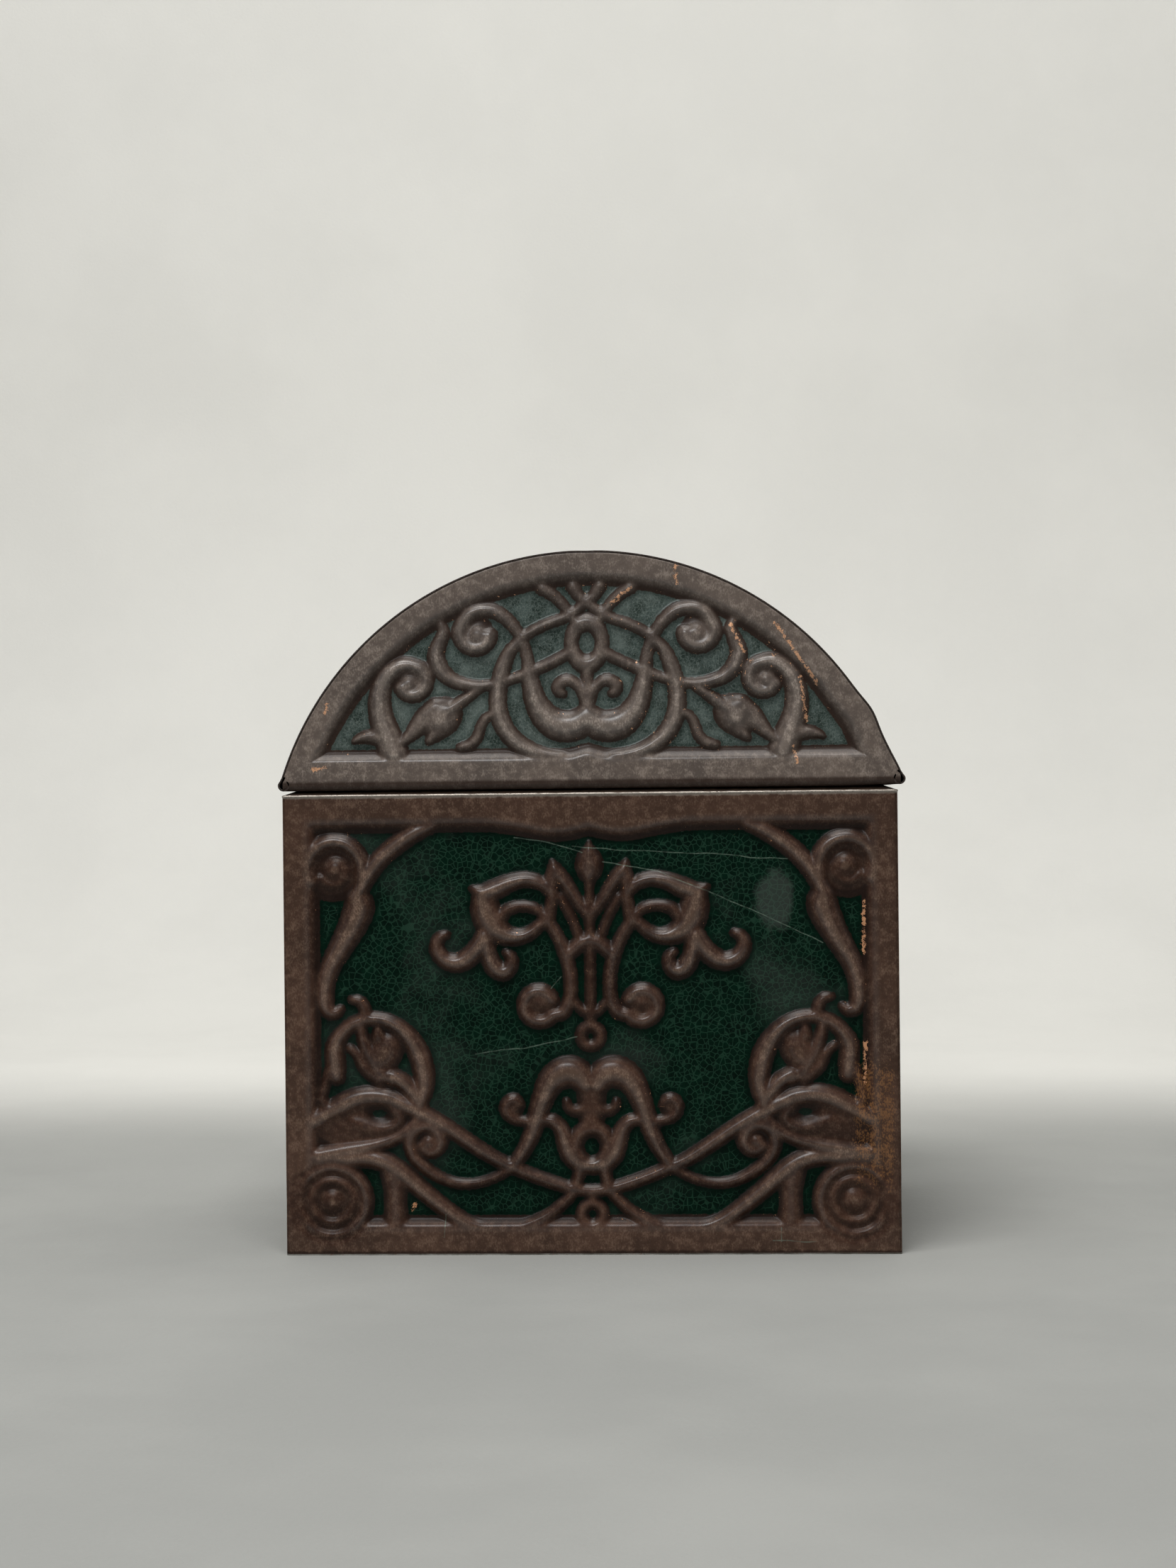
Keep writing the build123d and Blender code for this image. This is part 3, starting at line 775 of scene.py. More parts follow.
def lunette_piece(name, node, place, rolled, shape, materials):
    """An arched end of the lid: a rolled lower edge, the pressed plate and a flange under the cover.

    The plate's point for (u, v) lies v of the way from the chord, at u times its half length, to the arch,
    at u times its half angle. The flange follows the arch inwards round a small bend. An end that isn't
    rolled has curls round the hinge wire instead, each a sheet of its own.
    """
    low, half_chord = ROLLED_CHORD if rolled else CURLED_CHORD
    u = np.linspace(-1, 1, COLUMNS)[:, None]
    v = np.linspace(0, 1, ROWS)
    rim = ARCH_IN - SEAT
    plate_rim = rim - RIM_BEND
    half_angle = np.arccos((low + 0.5 - ARCH_Z) / rim)
    across = u * half_chord + (np.sin(half_angle * u) * plate_rim - u * half_chord) * v
    up = low + (ARCH_Z + np.cos(half_angle * u) * plate_rim - low) * v
    lie = buckle(across, up, np.minimum(rim - np.hypot(across, up - ARCH_Z), up - low))
    relief = Relief(across, up)
    lunette_ornament(relief)

    def surface(rise, inward):
        turn = np.radians([30, 60, 90])
        bend = RIM_BEND - inward
        out = np.concatenate([plate_rim + bend * np.sin(turn), np.full(3, rim - inward)])
        depth = np.concatenate([RIM_BEND - bend * np.cos(turn), LUNETTE_FLANGE * np.array([0.4, 0.7, 1])])
        plate = np.stack([across, inward + lie + shape.press_depth / MM * (1 - rise), up], -1)
        bands = [plate, stacked(out * np.sin(half_angle * u), depth, ARCH_Z + out * np.cos(half_angle * u))]
        if rolled:
            x = u[:, 0] * BEAD_END
            bands.insert(0, rolled_rows(x, (BEAD, BEAD_Z), BEAD, ROLL_START, low, inward))
        grid = np.concatenate(bands, 1)
        return knocked(place(grid[..., 0], grid[..., 1], grid[..., 2]))

    surfaces = [both_sides(surface, relief, STEP, shape)]
    plain = ((0, 0), (ROLL_ROWS + 2 if rolled else 0, 6))  # rows of the roll and of the flange
    relief.rise = np.pad(relief.rise, plain, constant_values=1.0)
    relief.edge = np.pad(relief.edge, plain, constant_values=FLAT_EDGE)
    for start, end in () if rolled else CURL_RUNS:
        x = np.linspace(start, end, 3 * max(2, round((end - start) / 6)) + 1)
        pair = []
        for inward in (0.0, shape.sheet / MM):
            curl = rolled_rows(x, (CURL_DEPTH, CURL_Z), CURL, CURL_START, low, inward)
            grid = np.concatenate([curl, stacked(x[:, None], inward, low)], 1)
            pair.append(place(grid[..., 0], grid[..., 1], grid[..., 2]))
        surfaces.append((*pair, STEP, None))
    sheet_piece(name, node, "lid", surfaces, materials)


def cover_piece(shape, materials):
    """The lid's arched cover: half an outline, mirrored and drawn out from front to back.

    The outline is the arch, a short bend and the bead's circle, each with its outward direction. The relief
    moves the sheet in along that direction, and is laid out by the length of arch from the crown.
    """
    arch_end = radians(ARCH_END)
    count = 2 * round(arch_end * ARCH_OUT / COVER_FINENESS)
    arch = np.linspace(-arch_end, arch_end, count + 1)
    bead = np.radians(np.linspace(*BEAD_ANGLES))

    def outline(inward):
        away = np.stack([np.sin(arch), np.cos(arch)], -1)
        curve = (0, ARCH_Z) + (ARCH_OUT - inward) * away
        round_bead = np.stack([np.cos(bead), np.sin(bead)], -1)
        roll = (BEAD_X, BEAD_Z) + (BEAD - inward) * round_bead
        right = np.vstack([(curve[-1] + roll[0]) / 2 + JOG, roll])
        right_away = np.vstack([away[-1], round_bead])
        left, left_away = right[::-1] * (-1, 1), right_away[::-1] * (-1, 1)
        return np.vstack([left, curve, right]), np.vstack([left_away, away, right_away])

    extra = len(bead) + 1
    along = np.pad(arch * ARCH_OUT, extra, mode="edge")
    along[:extra] -= np.arange(extra, 0, -1)
    along[-extra:] += np.arange(1, extra + 1)
    y = np.linspace(-HALF_DEPTH, HALF_DEPTH, 2 * round(HALF_DEPTH / COVER_FINENESS) + 1)
    q, p = np.meshgrid(along, y, indexing="ij")
    relief = Relief(p, np.abs(q) + ROSETTE_Z)
    cover_ornament(relief, HALF_DEPTH - COVER_BORDER)

    def surface(rise, inward):
        line, away = outline(inward)
        line = line[:, None] - away[:, None] * (shape.press_depth / MM * (1 - rise))[..., None]
        return knocked(stacked(line[..., 0], y, line[..., 1]))

    surfaces = [both_sides(surface, relief, COVER_STEP, shape)]
    sheet_piece("arched_cover", "lid_vault", "lid", surfaces, materials)


# ---------------------------------------------------------------- finishes
def tone(red, green, blue):
    """A colour given as a screen shows it, 0 to 255, as the linear light that Blender works in."""
    c = np.array([red, green, blue]) / 255
    return tuple(np.where(c <= 0.04045, c / 12.92, ((c + 0.055) / 1.055) ** 2.4)) + (1.0,)


class Wire:
    """A value in a finish's node tree. Plus, minus and the rest make Math nodes, either way round."""

    def __init__(self, tree, socket=None):
        self.tree = tree
        self.socket = socket

    def node(self, kind, settings=None, inputs=None, output=0):
        """Makes a node: its settings first, then its sockets by number or name, given a value or a wire."""
        made = self.tree.nodes.new("ShaderNode" + kind)
        for name, value in (settings or {}).items():
            setattr(made, name, value)
        for name, value in (inputs or {}).items():
            if isinstance(value, Wire):
                self.tree.links.new(value.socket, made.inputs[name])
            else:
                made.inputs[name].default_value = value
        return Wire(self.tree, made.outputs[output] if made.outputs else None)

    def math(self, operation, *values):
        """A Math node's value, from wires or numbers."""
        return self.node("Math", {"operation": operation}, dict(enumerate(values)))

    def __add__(self, other):
        return self.math("ADD", self, other)

    def __radd__(self, other):
        return self.math("ADD", other, self)

    def __sub__(self, other):
        return self.math("SUBTRACT", self, other)

    def __rsub__(self, other):
        return self.math("SUBTRACT", other, self)

    def __mul__(self, other):
        return self.math("MULTIPLY", self, other)

    def __rmul__(self, other):
        return self.math("MULTIPLY", other, self)

    def __truediv__(self, other):
        return self.math("DIVIDE", self, other)

    def __rtruediv__(self, other):
        return self.math("DIVIDE", other, self)

    def __pow__(self, other):
        return self.math("POWER", self, other)

    def __abs__(self):
        return self.math("ABSOLUTE", self)

    def most(self, other):
        """The larger of two values."""
        return self.math("MAXIMUM", self, other)

    def least(self, other):
        """The smaller of two values."""
        return self.math("MINIMUM", self, other)

    def step(self, low, high):
        """0 below low, 1 above high, smooth between; the other way round if low is above high."""
        return self.node("MapRange", {"interpolation_type": "SMOOTHSTEP"}, {0: self, 1: low, 2: high})

    def band(self, low, high, soft):
        """1 between low and high, falling to 0 over soft outside them."""
        return self.step(low - soft, low) * self.step(high + soft, high)

    def mix(self, first, second):
        """From the first colour at 0 to the second at 1."""
        return self.node("Mix", {"data_type": "RGBA"}, {0: self, 6: first, 7: second}, 2)

    def scaled(self, amount):
        """A place moved out from the origin, amount times as far."""
        return self.node("VectorMath", {"operation": "SCALE"}, {0: self, 3: amount})

    def stretched(self, x, y, z):
        """A place scaled by its own amount along each axis."""
        return self.node("VectorMath", {"operation": "MULTIPLY"}, {0: self, 1: (x, y, z)})

    def noise(self, scale, detail=3.0, rough=0.55, twist=0.0):
        """Cloudy noise about 0.5, scale to the millimetre."""
        inputs = {"Vector": self, "Scale": scale, "Detail": detail, "Roughness": rough, "Distortion": twist}
        return self.node("TexNoise", None, inputs)

    def cracks(self, scale):
        """How far a place is from the nearest crack between cells, in cells."""
        return self.node("TexVoronoi", {"feature": "DISTANCE_TO_EDGE"}, {"Vector": self, "Scale": scale})

    def dots(self, scale):
        """How far a place is from the nearest of a scatter of points, in cells."""
        return self.node("TexVoronoi", {"feature": "F1"}, {"Vector": self, "Scale": scale})


class Finish:
    """A material being made: places in millimetres, the mesh's own values, and the surface shader."""

    def __init__(self, name, colours):
        self.colours = colours
        self.material = bpy.data.materials.new(name)
        self.material.use_nodes = True
        self.tree = self.material.node_tree
        self.tree.nodes.clear()
        self.start = Wire(self.tree)
        self.place = self.start.node("TexCoord", output=3).scaled(1 / MM)
        apart = self.start.node("SeparateXYZ", None, {0: self.place}).socket.node
        self.x, self.y, self.z = (Wire(self.tree, output) for output in apart.outputs)

    def value(self, name):
        """One of the mesh's own values at a place."""
        return self.start.node("Attribute", {"attribute_name": name}, output=2)

    def surface(self, colour, roughness, metallic=0.0, bump=None, depth=0.1, coat=0.0, fixed=None):
        """Joins the surface shader to the output. The bump's height is a share of depth, in millimetres."""
        inputs = {"Base Color": colour, "Roughness": roughness, "Metallic": metallic, "Coat Weight": coat}
        if bump is not None:
            settings = {"Strength": 1.0, "Distance": depth * MM, "Height": bump}
            inputs["Normal"] = self.start.node("Bump", None, settings)
        inputs.update(fixed or {})
        shader = self.start.node("BsdfPrincipled", None, inputs)
        self.start.node("OutputMaterial", None, {0: shader})
        return self.material


# Worn lines, in millimetres across and up, each from one place to another.
LID_CHIPS = (
    ((42, 184), (46, 176)), ((62, 168), (64, 155)), ((60, 148), (61, 143)), ((-81, 143), (-77, 143.2)),
    ((-77, 159), (-76.5, 162)), ((55, 184), (67, 166)), ((7, 190), (13, 195)), ((26, 201), (26.4, 196)),
)
BOX_CHIPS = (((79.8, 50), (80, 62)), ((79.8, 88), (80, 103)), ((-53, 13), (-52, 15)))
SCRATCHES = (
    ((-22, 121.8), (-12, 120.2)), ((-12, 120.2), (-2, 117.5)), ((-5, 119.2), (10, 118.3)),
    ((10, 118.3), (30, 117.2)), ((30, 117.2), (58, 115)), ((4, 115), (20, 112)), ((20, 112), (35, 105.5)),
    ((35, 105.5), (50, 99)), ((50, 99), (68, 90.5)), ((-34, 58.5), (-20, 60.5)), ((-20, 60.5), (-4, 63.8)),
    ((-11.5, 78), (-8.5, 81.2)), ((52.5, 3.8), (65, 3.8)), ((55, 3.5), (55, 7.5)), ((-43.5, 5), (-43, 12)),
)
STAIN = (54.0, 103.0, 5.5, 8.5)  # a grey patch on the front wall: its middle and half sizes, across and up


class Lacquer(Finish):
    """Lacquer on a pressed sheet: brown on what is raised, green on the ground, chipped to copper."""

    fixed = {"Specular IOR Level": 0.06, "Coat Roughness": 0.27, "Coat IOR": 1.55}
    bump_depth = 0.14

    def __init__(self, name, colours):
        super().__init__(name, colours)
        self.rise, self.edge = self.value("rise"), self.value("edge")
        self.grain = self.place.noise(0.42, 4, 0.62)
        self.fine = self.place.stretched(1.0, 1.0, 0.6).noise(2.2, 3, 0.6)
        self.raised = (self.edge + (self.place.noise(0.9, 3) - 0.5) * 0.9).step(-0.6, -0.25)
        self.ground = 1.0 - self.raised
        self.front = self.y.step(-HALF_DEPTH + 4, -HALF_DEPTH + 3)
        self.shine = self.raised * (0.2 + 0.8 * self.rise.step(0.7, 1.0) * self.edge.step(5.0, 3.0))

    def brown(self, low, high):
        """Worn brown: cloudy and rubbed pale on crests, with painted shade darkening it from low up to high
        and in the creases, and a painted highlight on the crests.
        """
        cloud = self.place.noise(0.05, 4, 0.62)
        shade = (cloud * 0.6 + self.grain * 0.4).step(0.36, 0.64)
        colour = shade.mix(self.colours.brown_deep, self.colours.brown)
        rubbed = (self.grain * 0.5 + self.fine * 0.5).step(0.46, 0.66)
        # Painted shade: the brown darkens from low up to high.
        colour = (self.z.step(low, high) * 0.4).mix(colour, self.colours.brown_deep)
        # Rubbed wear, plus a painted highlight that lightens the highest crests.
        crest = self.rise.step(0.93, 1.1)
        colour = (rubbed * (0.2 + 0.36 * crest) + crest * 0.22).mix(colour, self.colours.brown_worn_and_highlight)
        # Painted shade down the slopes and in the creases of the relief.
        crease = self.rise.step(0.86, 0.08) * (0.46 + 0.42 * self.edge.step(2.6, 1.2))
        return crease.mix(colour, self.colours.brown_shade_and_grime)

    def line_distance(self, lines):
        """Distance in millimetres, in X and Z, from the nearest of some straight lines, a little wavy."""
        wavy = self.z + (self.place.noise(0.06, 2) - 0.5) * 2.4
        nearest = None
        for (x0, z0), (x1, z1) in lines:
            length = sqrt((x1 - x0) ** 2 + (z1 - z0) ** 2)
            cx, cz = (x1 - x0) / length, (z1 - z0) / length
            right, up = self.x - x0, wavy - z0
            past = (abs(right * cx + up * cz - length / 2) - length / 2).most(0.0)
            away = abs(up * cx - right * cz) + past
            nearest = nearest.least(away) if nearest else away
        return nearest

    def chips(self, worn, sparse):
        """Where it has flaked off: ragged flecks along pressed edges, and the listed worn lines."""
        ragged = self.place.noise(0.8, 5, 0.72, 0.6)
        where = self.place.noise(0.04, 2, 0.5).step(0.5, 0.66)
        near = self.edge.band(-0.3, 1.0, 0.4) * self.rise.step(1.05, 0.8)
        flakes = (ragged + near * 0.08 + where * 0.05).step(0.745 + sparse, 0.765 + sparse)
        spot = (self.line_distance(worn) / 1.5).step(1.0, 0.0) * self.front
        worn_through = (ragged + spot * 0.24).step(0.7, 0.74) * spot.step(0.05, 0.3)
        return (flakes * (0.15 + 0.85 * near)).most(worn_through)


def box_lacquer(colours):
    """Brown on what is raised; glassy dark green on the ground, crazed in cells of about a millimetre."""
    f = Lacquer("box_lacquer", colours)
    crack = f.place.cracks(0.62)
    lines = crack.step(0.11, 0.02) * f.edge.step(-0.7, -2.6)
    film = f.place.noise(0.028, 4, 0.6).step(0.5, 0.74)
    mottle = f.place.noise(0.22, 4, 0.65)
    green = mottle.step(0.35, 0.68).mix(colours.green_deep, colours.green)
    green = (lines * (0.4 + 0.7 * mottle)).mix(green, colours.green_craze)
    across, up, half_width, half_height = STAIN
    stain = ((f.x - across) / half_width) ** 2.0 + ((f.z - up) / half_height) ** 2.0
    stain = (stain + (mottle - 0.5) * 2.0).step(1.5, 0.4) * f.front
    green = (film * 0.16 * (0.5 + f.fine) + stain * 0.3).mix(green, colours.bloom)
    # Painted shade: the green darkens round the foot of each raised form.
    green = (f.edge.band(-0.9, 0.4, 0.6) * 0.2).mix(green, colours.green_deep)
    dust = f.place.noise(0.035, 3, 0.6).step(0.5, 0.7) * f.place.noise(1.3, 4, 0.75).step(0.62, 0.72)
    green = (dust * 0.35).mix(green, colours.scratch)

    # Brown with painted shade darkening it from 55 up to 130 millimetres.
    colour = f.raised.mix(green, f.brown(55.0, 130.0))
    scratch = (f.line_distance(SCRATCHES) + (f.fine - 0.5) * 0.3).step(0.24, 0.06) * f.front
    scratch = scratch * (0.35 + 0.65 * f.place.noise(0.4, 2).step(0.35, 0.6))
    colour = (scratch * 0.42).mix(colour, colours.scratch)
    right_edge = f.x.band(78, 87, 4) * f.z.band(26, 50, 16) * f.front
    rust = (right_edge * 0.21 + f.grain * 0.4 + f.fine * 0.6).step(0.66, 0.8) * 0.65
    colour = rust.mix(colour, colours.rust)
    flake = f.chips(BOX_CHIPS, 0.03)
    colour = flake.mix(colour, colours.copper)
    fold = (f.z + (f.grain - 0.5) * 1.2).step(COLLAR_LOW - 1.0, COLLAR_LOW - 0.3)
    colour = (fold * 0.6).mix(colour, colours.bare)
    # Painted shade: the wall's lowest millimetre and a half darkens where it meets the hem and the floor.
    foot = (f.z + (f.grain - 0.5) * 0.9).step(1.5, 0.8)
    colour = (foot * 0.7).mix(colour, colours.brown_shade_and_grime)
    rough = 0.5 + f.raised * -0.06 + (f.fine - 0.5) * 0.2 + film * 0.12 - f.ground * (0.12 - lines * 0.15)
    ground_relief = crack.step(0.0, 0.16) * 0.22 + f.fine * 0.08
    relief = f.raised * (f.grain * 0.5 + f.fine * 0.35) + f.ground * ground_relief - flake * 0.3
    return f.surface(colour, rough, flake * 0.3 + fold * 0.4, relief, f.bump_depth, f.shine, f.fixed)


def lid_lacquer(colours):
    """The lid's rubbed, greyer brown, and a dull green that is clouded and finely speckled."""
    f = Lacquer("lid_lacquer", colours)
    green = f.place.noise(0.24, 5, 0.72).step(0.38, 0.6).mix(colours.green_deep, colours.green)
    film = f.place.noise(0.05, 3, 0.6).step(0.45, 0.65) * 0.35
    green = (f.fine.step(0.5, 0.68) * 0.45 + film).mix(green, colours.green_craze)
    green = (f.place.cracks(0.9).step(0.1, 0.02) * 0.25).mix(green, colours.green_craze)
    # Painted shade: the green darkens round the foot of each raised form.
    green = (f.edge.band(-0.9, 0.4, 0.8) * 0.45).mix(green, colours.green_deep)
    # Brown with painted shade darkening it from 150 up to 195 millimetres.
    colour = f.raised.mix(green, f.brown(150.0, 195.0))
    flake = f.chips(LID_CHIPS, 0.0)
    colour = flake.mix(colour, colours.copper)
    # Painted shade: the rolled bead's underside is darkened.
    low = f.z.step(BEAD_Z + 1.5, BEAD_Z + 0.4) * 0.8
    colour = low.mix(colour, colours.brown_shade_and_grime)
    rim = abs(f.y).step(HALF_DEPTH - 0.9, HALF_DEPTH - 0.25)
    rough = 0.47 + (f.fine - 0.5) * 0.24 + f.ground * 0.03 + rim * 0.02
    relief = f.raised * (f.grain * 0.5 + f.fine * 0.4) + f.ground * f.fine * 0.3 - flake * 0.3
    return f.surface(colour, rough, flake * 0.3, relief, f.bump_depth, f.shine + f.ground * 0.4, f.fixed)


def sheet_edge(colours):
    """The cut edge of the sheet, darkened with age."""
    f = Finish("sheet_edge", colours)
    grain = f.place.noise(1.4, 4, 0.7)
    colour = grain.step(0.42, 0.68).mix(colours.brown_shade_and_grime, colours.brown_deep)
    return f.surface(colour, 0.5 + (grain - 0.5) * 0.3, 0.2 + grain * 0.2, grain, 0.05)


def tinplate(name, colours):
    """Tin on steel gone grey: soft spangle, rubbed streaks, and pinpricks and bloom of rust."""
    f = Finish(name, colours)
    spangle = f.place.noise(0.12, 3, 0.6, 1.2)
    streak = f.place.stretched(0.15, 0.15, 2.2).noise(1.0, 3)
    fine = f.place.noise(3.0, 2)
    colour = (spangle * 0.6 + streak * 0.4).step(0.38, 0.64).mix(colours.tin_dull, colours.tin)
    bloom = f.place.noise(0.07, 5, 0.7).step(0.56, 0.68)
    prick = (f.place.dots(0.6) + (fine - 0.5) * 0.3).step(0.22, 0.1)
    rust = (bloom * 0.55 + prick * 0.45).least(1.0)
    colour = rust.mix(colour, colours.rust)
    rough = 0.36 + fine * 0.14 + rust * 0.35
    return f.surface(colour, rough, 0.9 - rust * 0.8, fine * 0.4 + rust * 0.6, 0.05)


def dark_lacquer(colours):
    """Painted shade on the neck: nearly black where it stands in the gap under the lid; brown on the
    shoulder, worn to bare metal along the fold.
    """
    f = Finish("dark_lacquer", colours)
    cloud = f.place.noise(0.08, 4, 0.6)
    grain = f.place.noise(0.5, 4, 0.68)
    fine = f.place.noise(2.4, 3, 0.7)
    # Painted shade: above the shoulder the neck is nearly black, standing in the gap under the lid.
    neck = f.z.step(136.2, 136.9)
    brown = (cloud * 0.5 + grain * 0.5).step(0.38, 0.62).mix(colours.brown_deep, colours.brown)
    colour = neck.mix(brown, grain.step(0.4, 0.7).mix(colours.neck, colours.brown_deep))
    worn = (f.z + (grain - 0.5) * 0.9 + (cloud - 0.5) * 0.5).step(135.15, 134.85)
    rubbed = fine.step(0.35, 0.6)
    colour = (worn * (0.55 + 0.4 * rubbed)).mix(colour, colours.bare)
    top = (f.z + (fine - 0.5) * 0.8).step(142.5, 142.95) * 0.6
    colour = top.mix(colour, colours.bare)
    metal = (worn * 0.55 + top * 0.5).least(0.9)
    return f.surface(colour, 0.5 - worn * 0.12 + (fine - 0.5) * 0.2, metal, grain * 0.5 + fine * 0.4, 0.07)


def steel_wire(colours):
    """Drawn steel wire: fine rings of drawing, grey, with rust where it turns."""
    f = Finish("steel_wire", colours)
    rings = f.place.stretched(6.0, 0.4, 0.4).noise(1.0, 3)
    patch = f.place.noise(0.12, 4, 0.7).step(0.5, 0.64)
    colour = rings.step(0.35, 0.65).mix(colours.tin_dull, colours.tin)
    colour = (patch * 0.7).mix(colour, colours.rust)
    return f.surface(colour, 0.34 + rings * 0.15 + patch * 0.3, 0.95 - patch * 0.7, rings, 0.03)


def stage_cloth(colours):
    """A pale matt ground with faint clouds."""
    f = Finish("pale_ground", colours)
    cloud = f.place.noise(0.006, 4, 0.6)
    upright = f.y.step(120.0, 430.0).most(f.z.step(5.0, 40.0))
    colour = (cloud.step(0.35, 0.65) * 0.07 + upright * 0.93).mix(colours.floor, colours.backdrop)
    return f.surface(colour, 0.86 + (cloud - 0.5) * 0.1, 0.0, f.place.noise(0.5, 4), 0.15)


# ---------------------------------------------------------------- settings
def length(name, text, default, low, high):
    """A length in metres that a user can change."""
    limits = {"min": low, "max": high, "subtype": "DISTANCE", "unit": "LENGTH", "precision": 5}
    return bpy.props.FloatProperty(name=name, description=text, default=default, **limits)


def angle(name, text, degrees):
    """An angle that a user can change."""
    return bpy.props.FloatProperty(name=name, description=text, default=radians(degrees), subtype="ANGLE")


def number(name, text, default, low):
    """A plain number that a user can change."""
    return bpy.props.FloatProperty(name=name, description=text, default=default, min=low)


def paint(name, text, *shown):
    """A colour that a user can change, given as a screen shows it."""
    limits = {"min": 0, "max": 1, "size": 4, "subtype": "COLOR"}
    return bpy.props.FloatVectorProperty(name=name, description=text, default=tone(*shown), **limits)


class CasketShape(bpy.types.PropertyGroup):
    """Sizes of the pressed sheet"""

    press_depth: length("Pressing", "Depth of the pressed relief", 0.0017, 0.0002, 0.003)
    sheet: length("Sheet", "Thickness of the sheet", 0.0004, 0.0002, 0.0004)
    fineness: length("Fineness", "Spacing of the walls' points", 0.00054, 0.0005, 0.003)


class CasketBoxColours(bpy.types.PropertyGroup):
    """Colours of the box"""

    brown: paint("Brown", "Lacquer on the raised parts", 78, 55, 44)
    # Deep brown also paints shade that darkens the brown towards the top.
    brown_deep: paint("Deep brown", "Darker clouds in the brown", 52, 34, 26)
    # Worn brown: rubbed wear on the crests, plus a painted highlight on the highest crests.
    brown_worn_and_highlight: paint("Worn brown", "Brown rubbed pale on the crests", 140, 116, 99)
    # Creases colour: painted shade down the slopes, in the creases and along the walls' foot; also the cut
    # edge's age-darkened colour.
    brown_shade_and_grime: paint("Creases", "Dirt down the slopes and in the creases", 24, 13, 9)
    green: paint("Green", "Lacquer on the ground", 4, 32, 21)
    # Deep green also paints shade round the foot of the raised forms.
    green_deep: paint("Deep green", "Darker clouds in the green", 2, 19, 12)
    green_craze: paint("Crazing", "Fine cracks in the green", 31, 60, 46)
    bloom: paint("Bloom", "Grey film on the green", 92, 100, 94)
    copper: paint("Copper", "Flakes down to the copper-coloured ground", 204, 150, 112)
    rust: paint("Rust", "Rust through the lacquer", 132, 90, 52)
    bare: paint("Bare metal", "Worn folds", 160, 150, 140)
    scratch: paint("Scratches", "Fine pale scratches", 120, 138, 124)


class CasketLidColours(bpy.types.PropertyGroup):
    """Colours of the lid"""

    brown: paint("Brown", "Lacquer on the raised parts", 104, 92, 84)
    # Deep brown also paints shade that darkens the brown towards the top.
    brown_deep: paint("Deep brown", "Darker clouds in the brown", 76, 67, 62)
    # Worn brown: rubbed wear on the crests, plus a painted highlight on the highest crests.
    brown_worn_and_highlight: paint("Worn brown", "Brown rubbed pale on the crests", 178, 165, 154)
    # Creases colour: painted shade down the slopes, in the creases and under the bead; also the cut edge's
    # age-darkened colour.
    brown_shade_and_grime: paint("Creases", "Dirt down the slopes and in the creases", 40, 25, 18)
    green: paint("Green", "Lacquer on the ground", 72, 84, 80)
    # Deep green also paints shade round the foot of the raised forms.
    green_deep: paint("Deep green", "Darker clouds in the green", 36, 48, 43)
    green_craze: paint("Specks", "Fine pale specks in the green", 118, 128, 123)
    copper: paint("Copper", "Flakes down to the copper-coloured ground", 214, 164, 128)


class CasketMetalColours(bpy.types.PropertyGroup):
    """Colours of the neck and the bare metal"""

    tin: paint("Tin", "Bright tinplate", 168, 166, 160)
    tin_dull: paint("Dull tin", "Tinplate gone grey", 112, 109, 102)
    rust: paint("Rust", "Rust on bare metal", 104, 58, 32)
    # The neck's nearly black colour is painted shade for the gap under the lid.
    neck: paint("Neck", "Nearly black lacquer", 22, 17, 14)
    brown: paint("Brown", "Lacquer on the shoulder", 70, 55, 44)
    brown_deep: paint("Deep brown", "Darker clouds in the brown", 40, 29, 22)
    bare: paint("Bare metal", "Worn folds", 176, 168, 158)


class CasketStage(bpy.types.PropertyGroup):
    """Floor, camera and lamps"""

    backdrop: paint("Backdrop", "The upright part of the ground", 232, 231, 226)
    floor: paint("Floor", "The flat part of the ground", 150, 151, 148)
    distance: length("Camera distance", "From the camera to the front wall", 0.720, 0.3, 3)
    aim_height: length("Aim", "Height of the camera and of where it looks", 0.1375, 0, 1)
    turn: angle("Turn", "How far round to the right the camera stands", 2.5)
    tilt: angle("Tilt", "How far the camera leans to the right", 0.6)
    lens: number("Lens", "Focal length in millimetres", 56.6, 20)
    light: number("Light", "Strength of all lamps", 1.0, 0)


# ---------------------------------------------------------------- stage
def make_stage(settings):
    """Floor and backdrop in one sweep: flat, then a quarter turn, then upright, drawn out along X."""
    reach, foot, bend = 2600.0, 520.0, 420.0
    turn = np.radians(np.linspace(0, 90, 13))
    y = [np.linspace(-reach, foot, 12)[:-1], foot + bend * np.sin(turn), np.full(6, foot + bend)]
    z = [np.zeros(11), bend * (1 - np.cos(turn)), np.linspace(bend, reach, 7)[1:]]
    x = np.linspace(-reach, reach, 9)[:, None]
    grid = stacked(x, np.concatenate(y), np.concatenate(z))
    points, front_faces, back_faces, rim = shell(grid, grid + (0, 8, -8), 1)
    mesh = bpy.data.meshes.new("ground")
    mesh.from_pydata((points * MM).tolist(), [], np.vstack([front_faces, back_faces, rim]).tolist())
    mesh.shade_smooth()
    mesh.materials.append(stage_cloth(settings))
    ground = bpy.data.objects.new("ground", mesh)
    bpy.context.scene.collection.objects.link(ground)


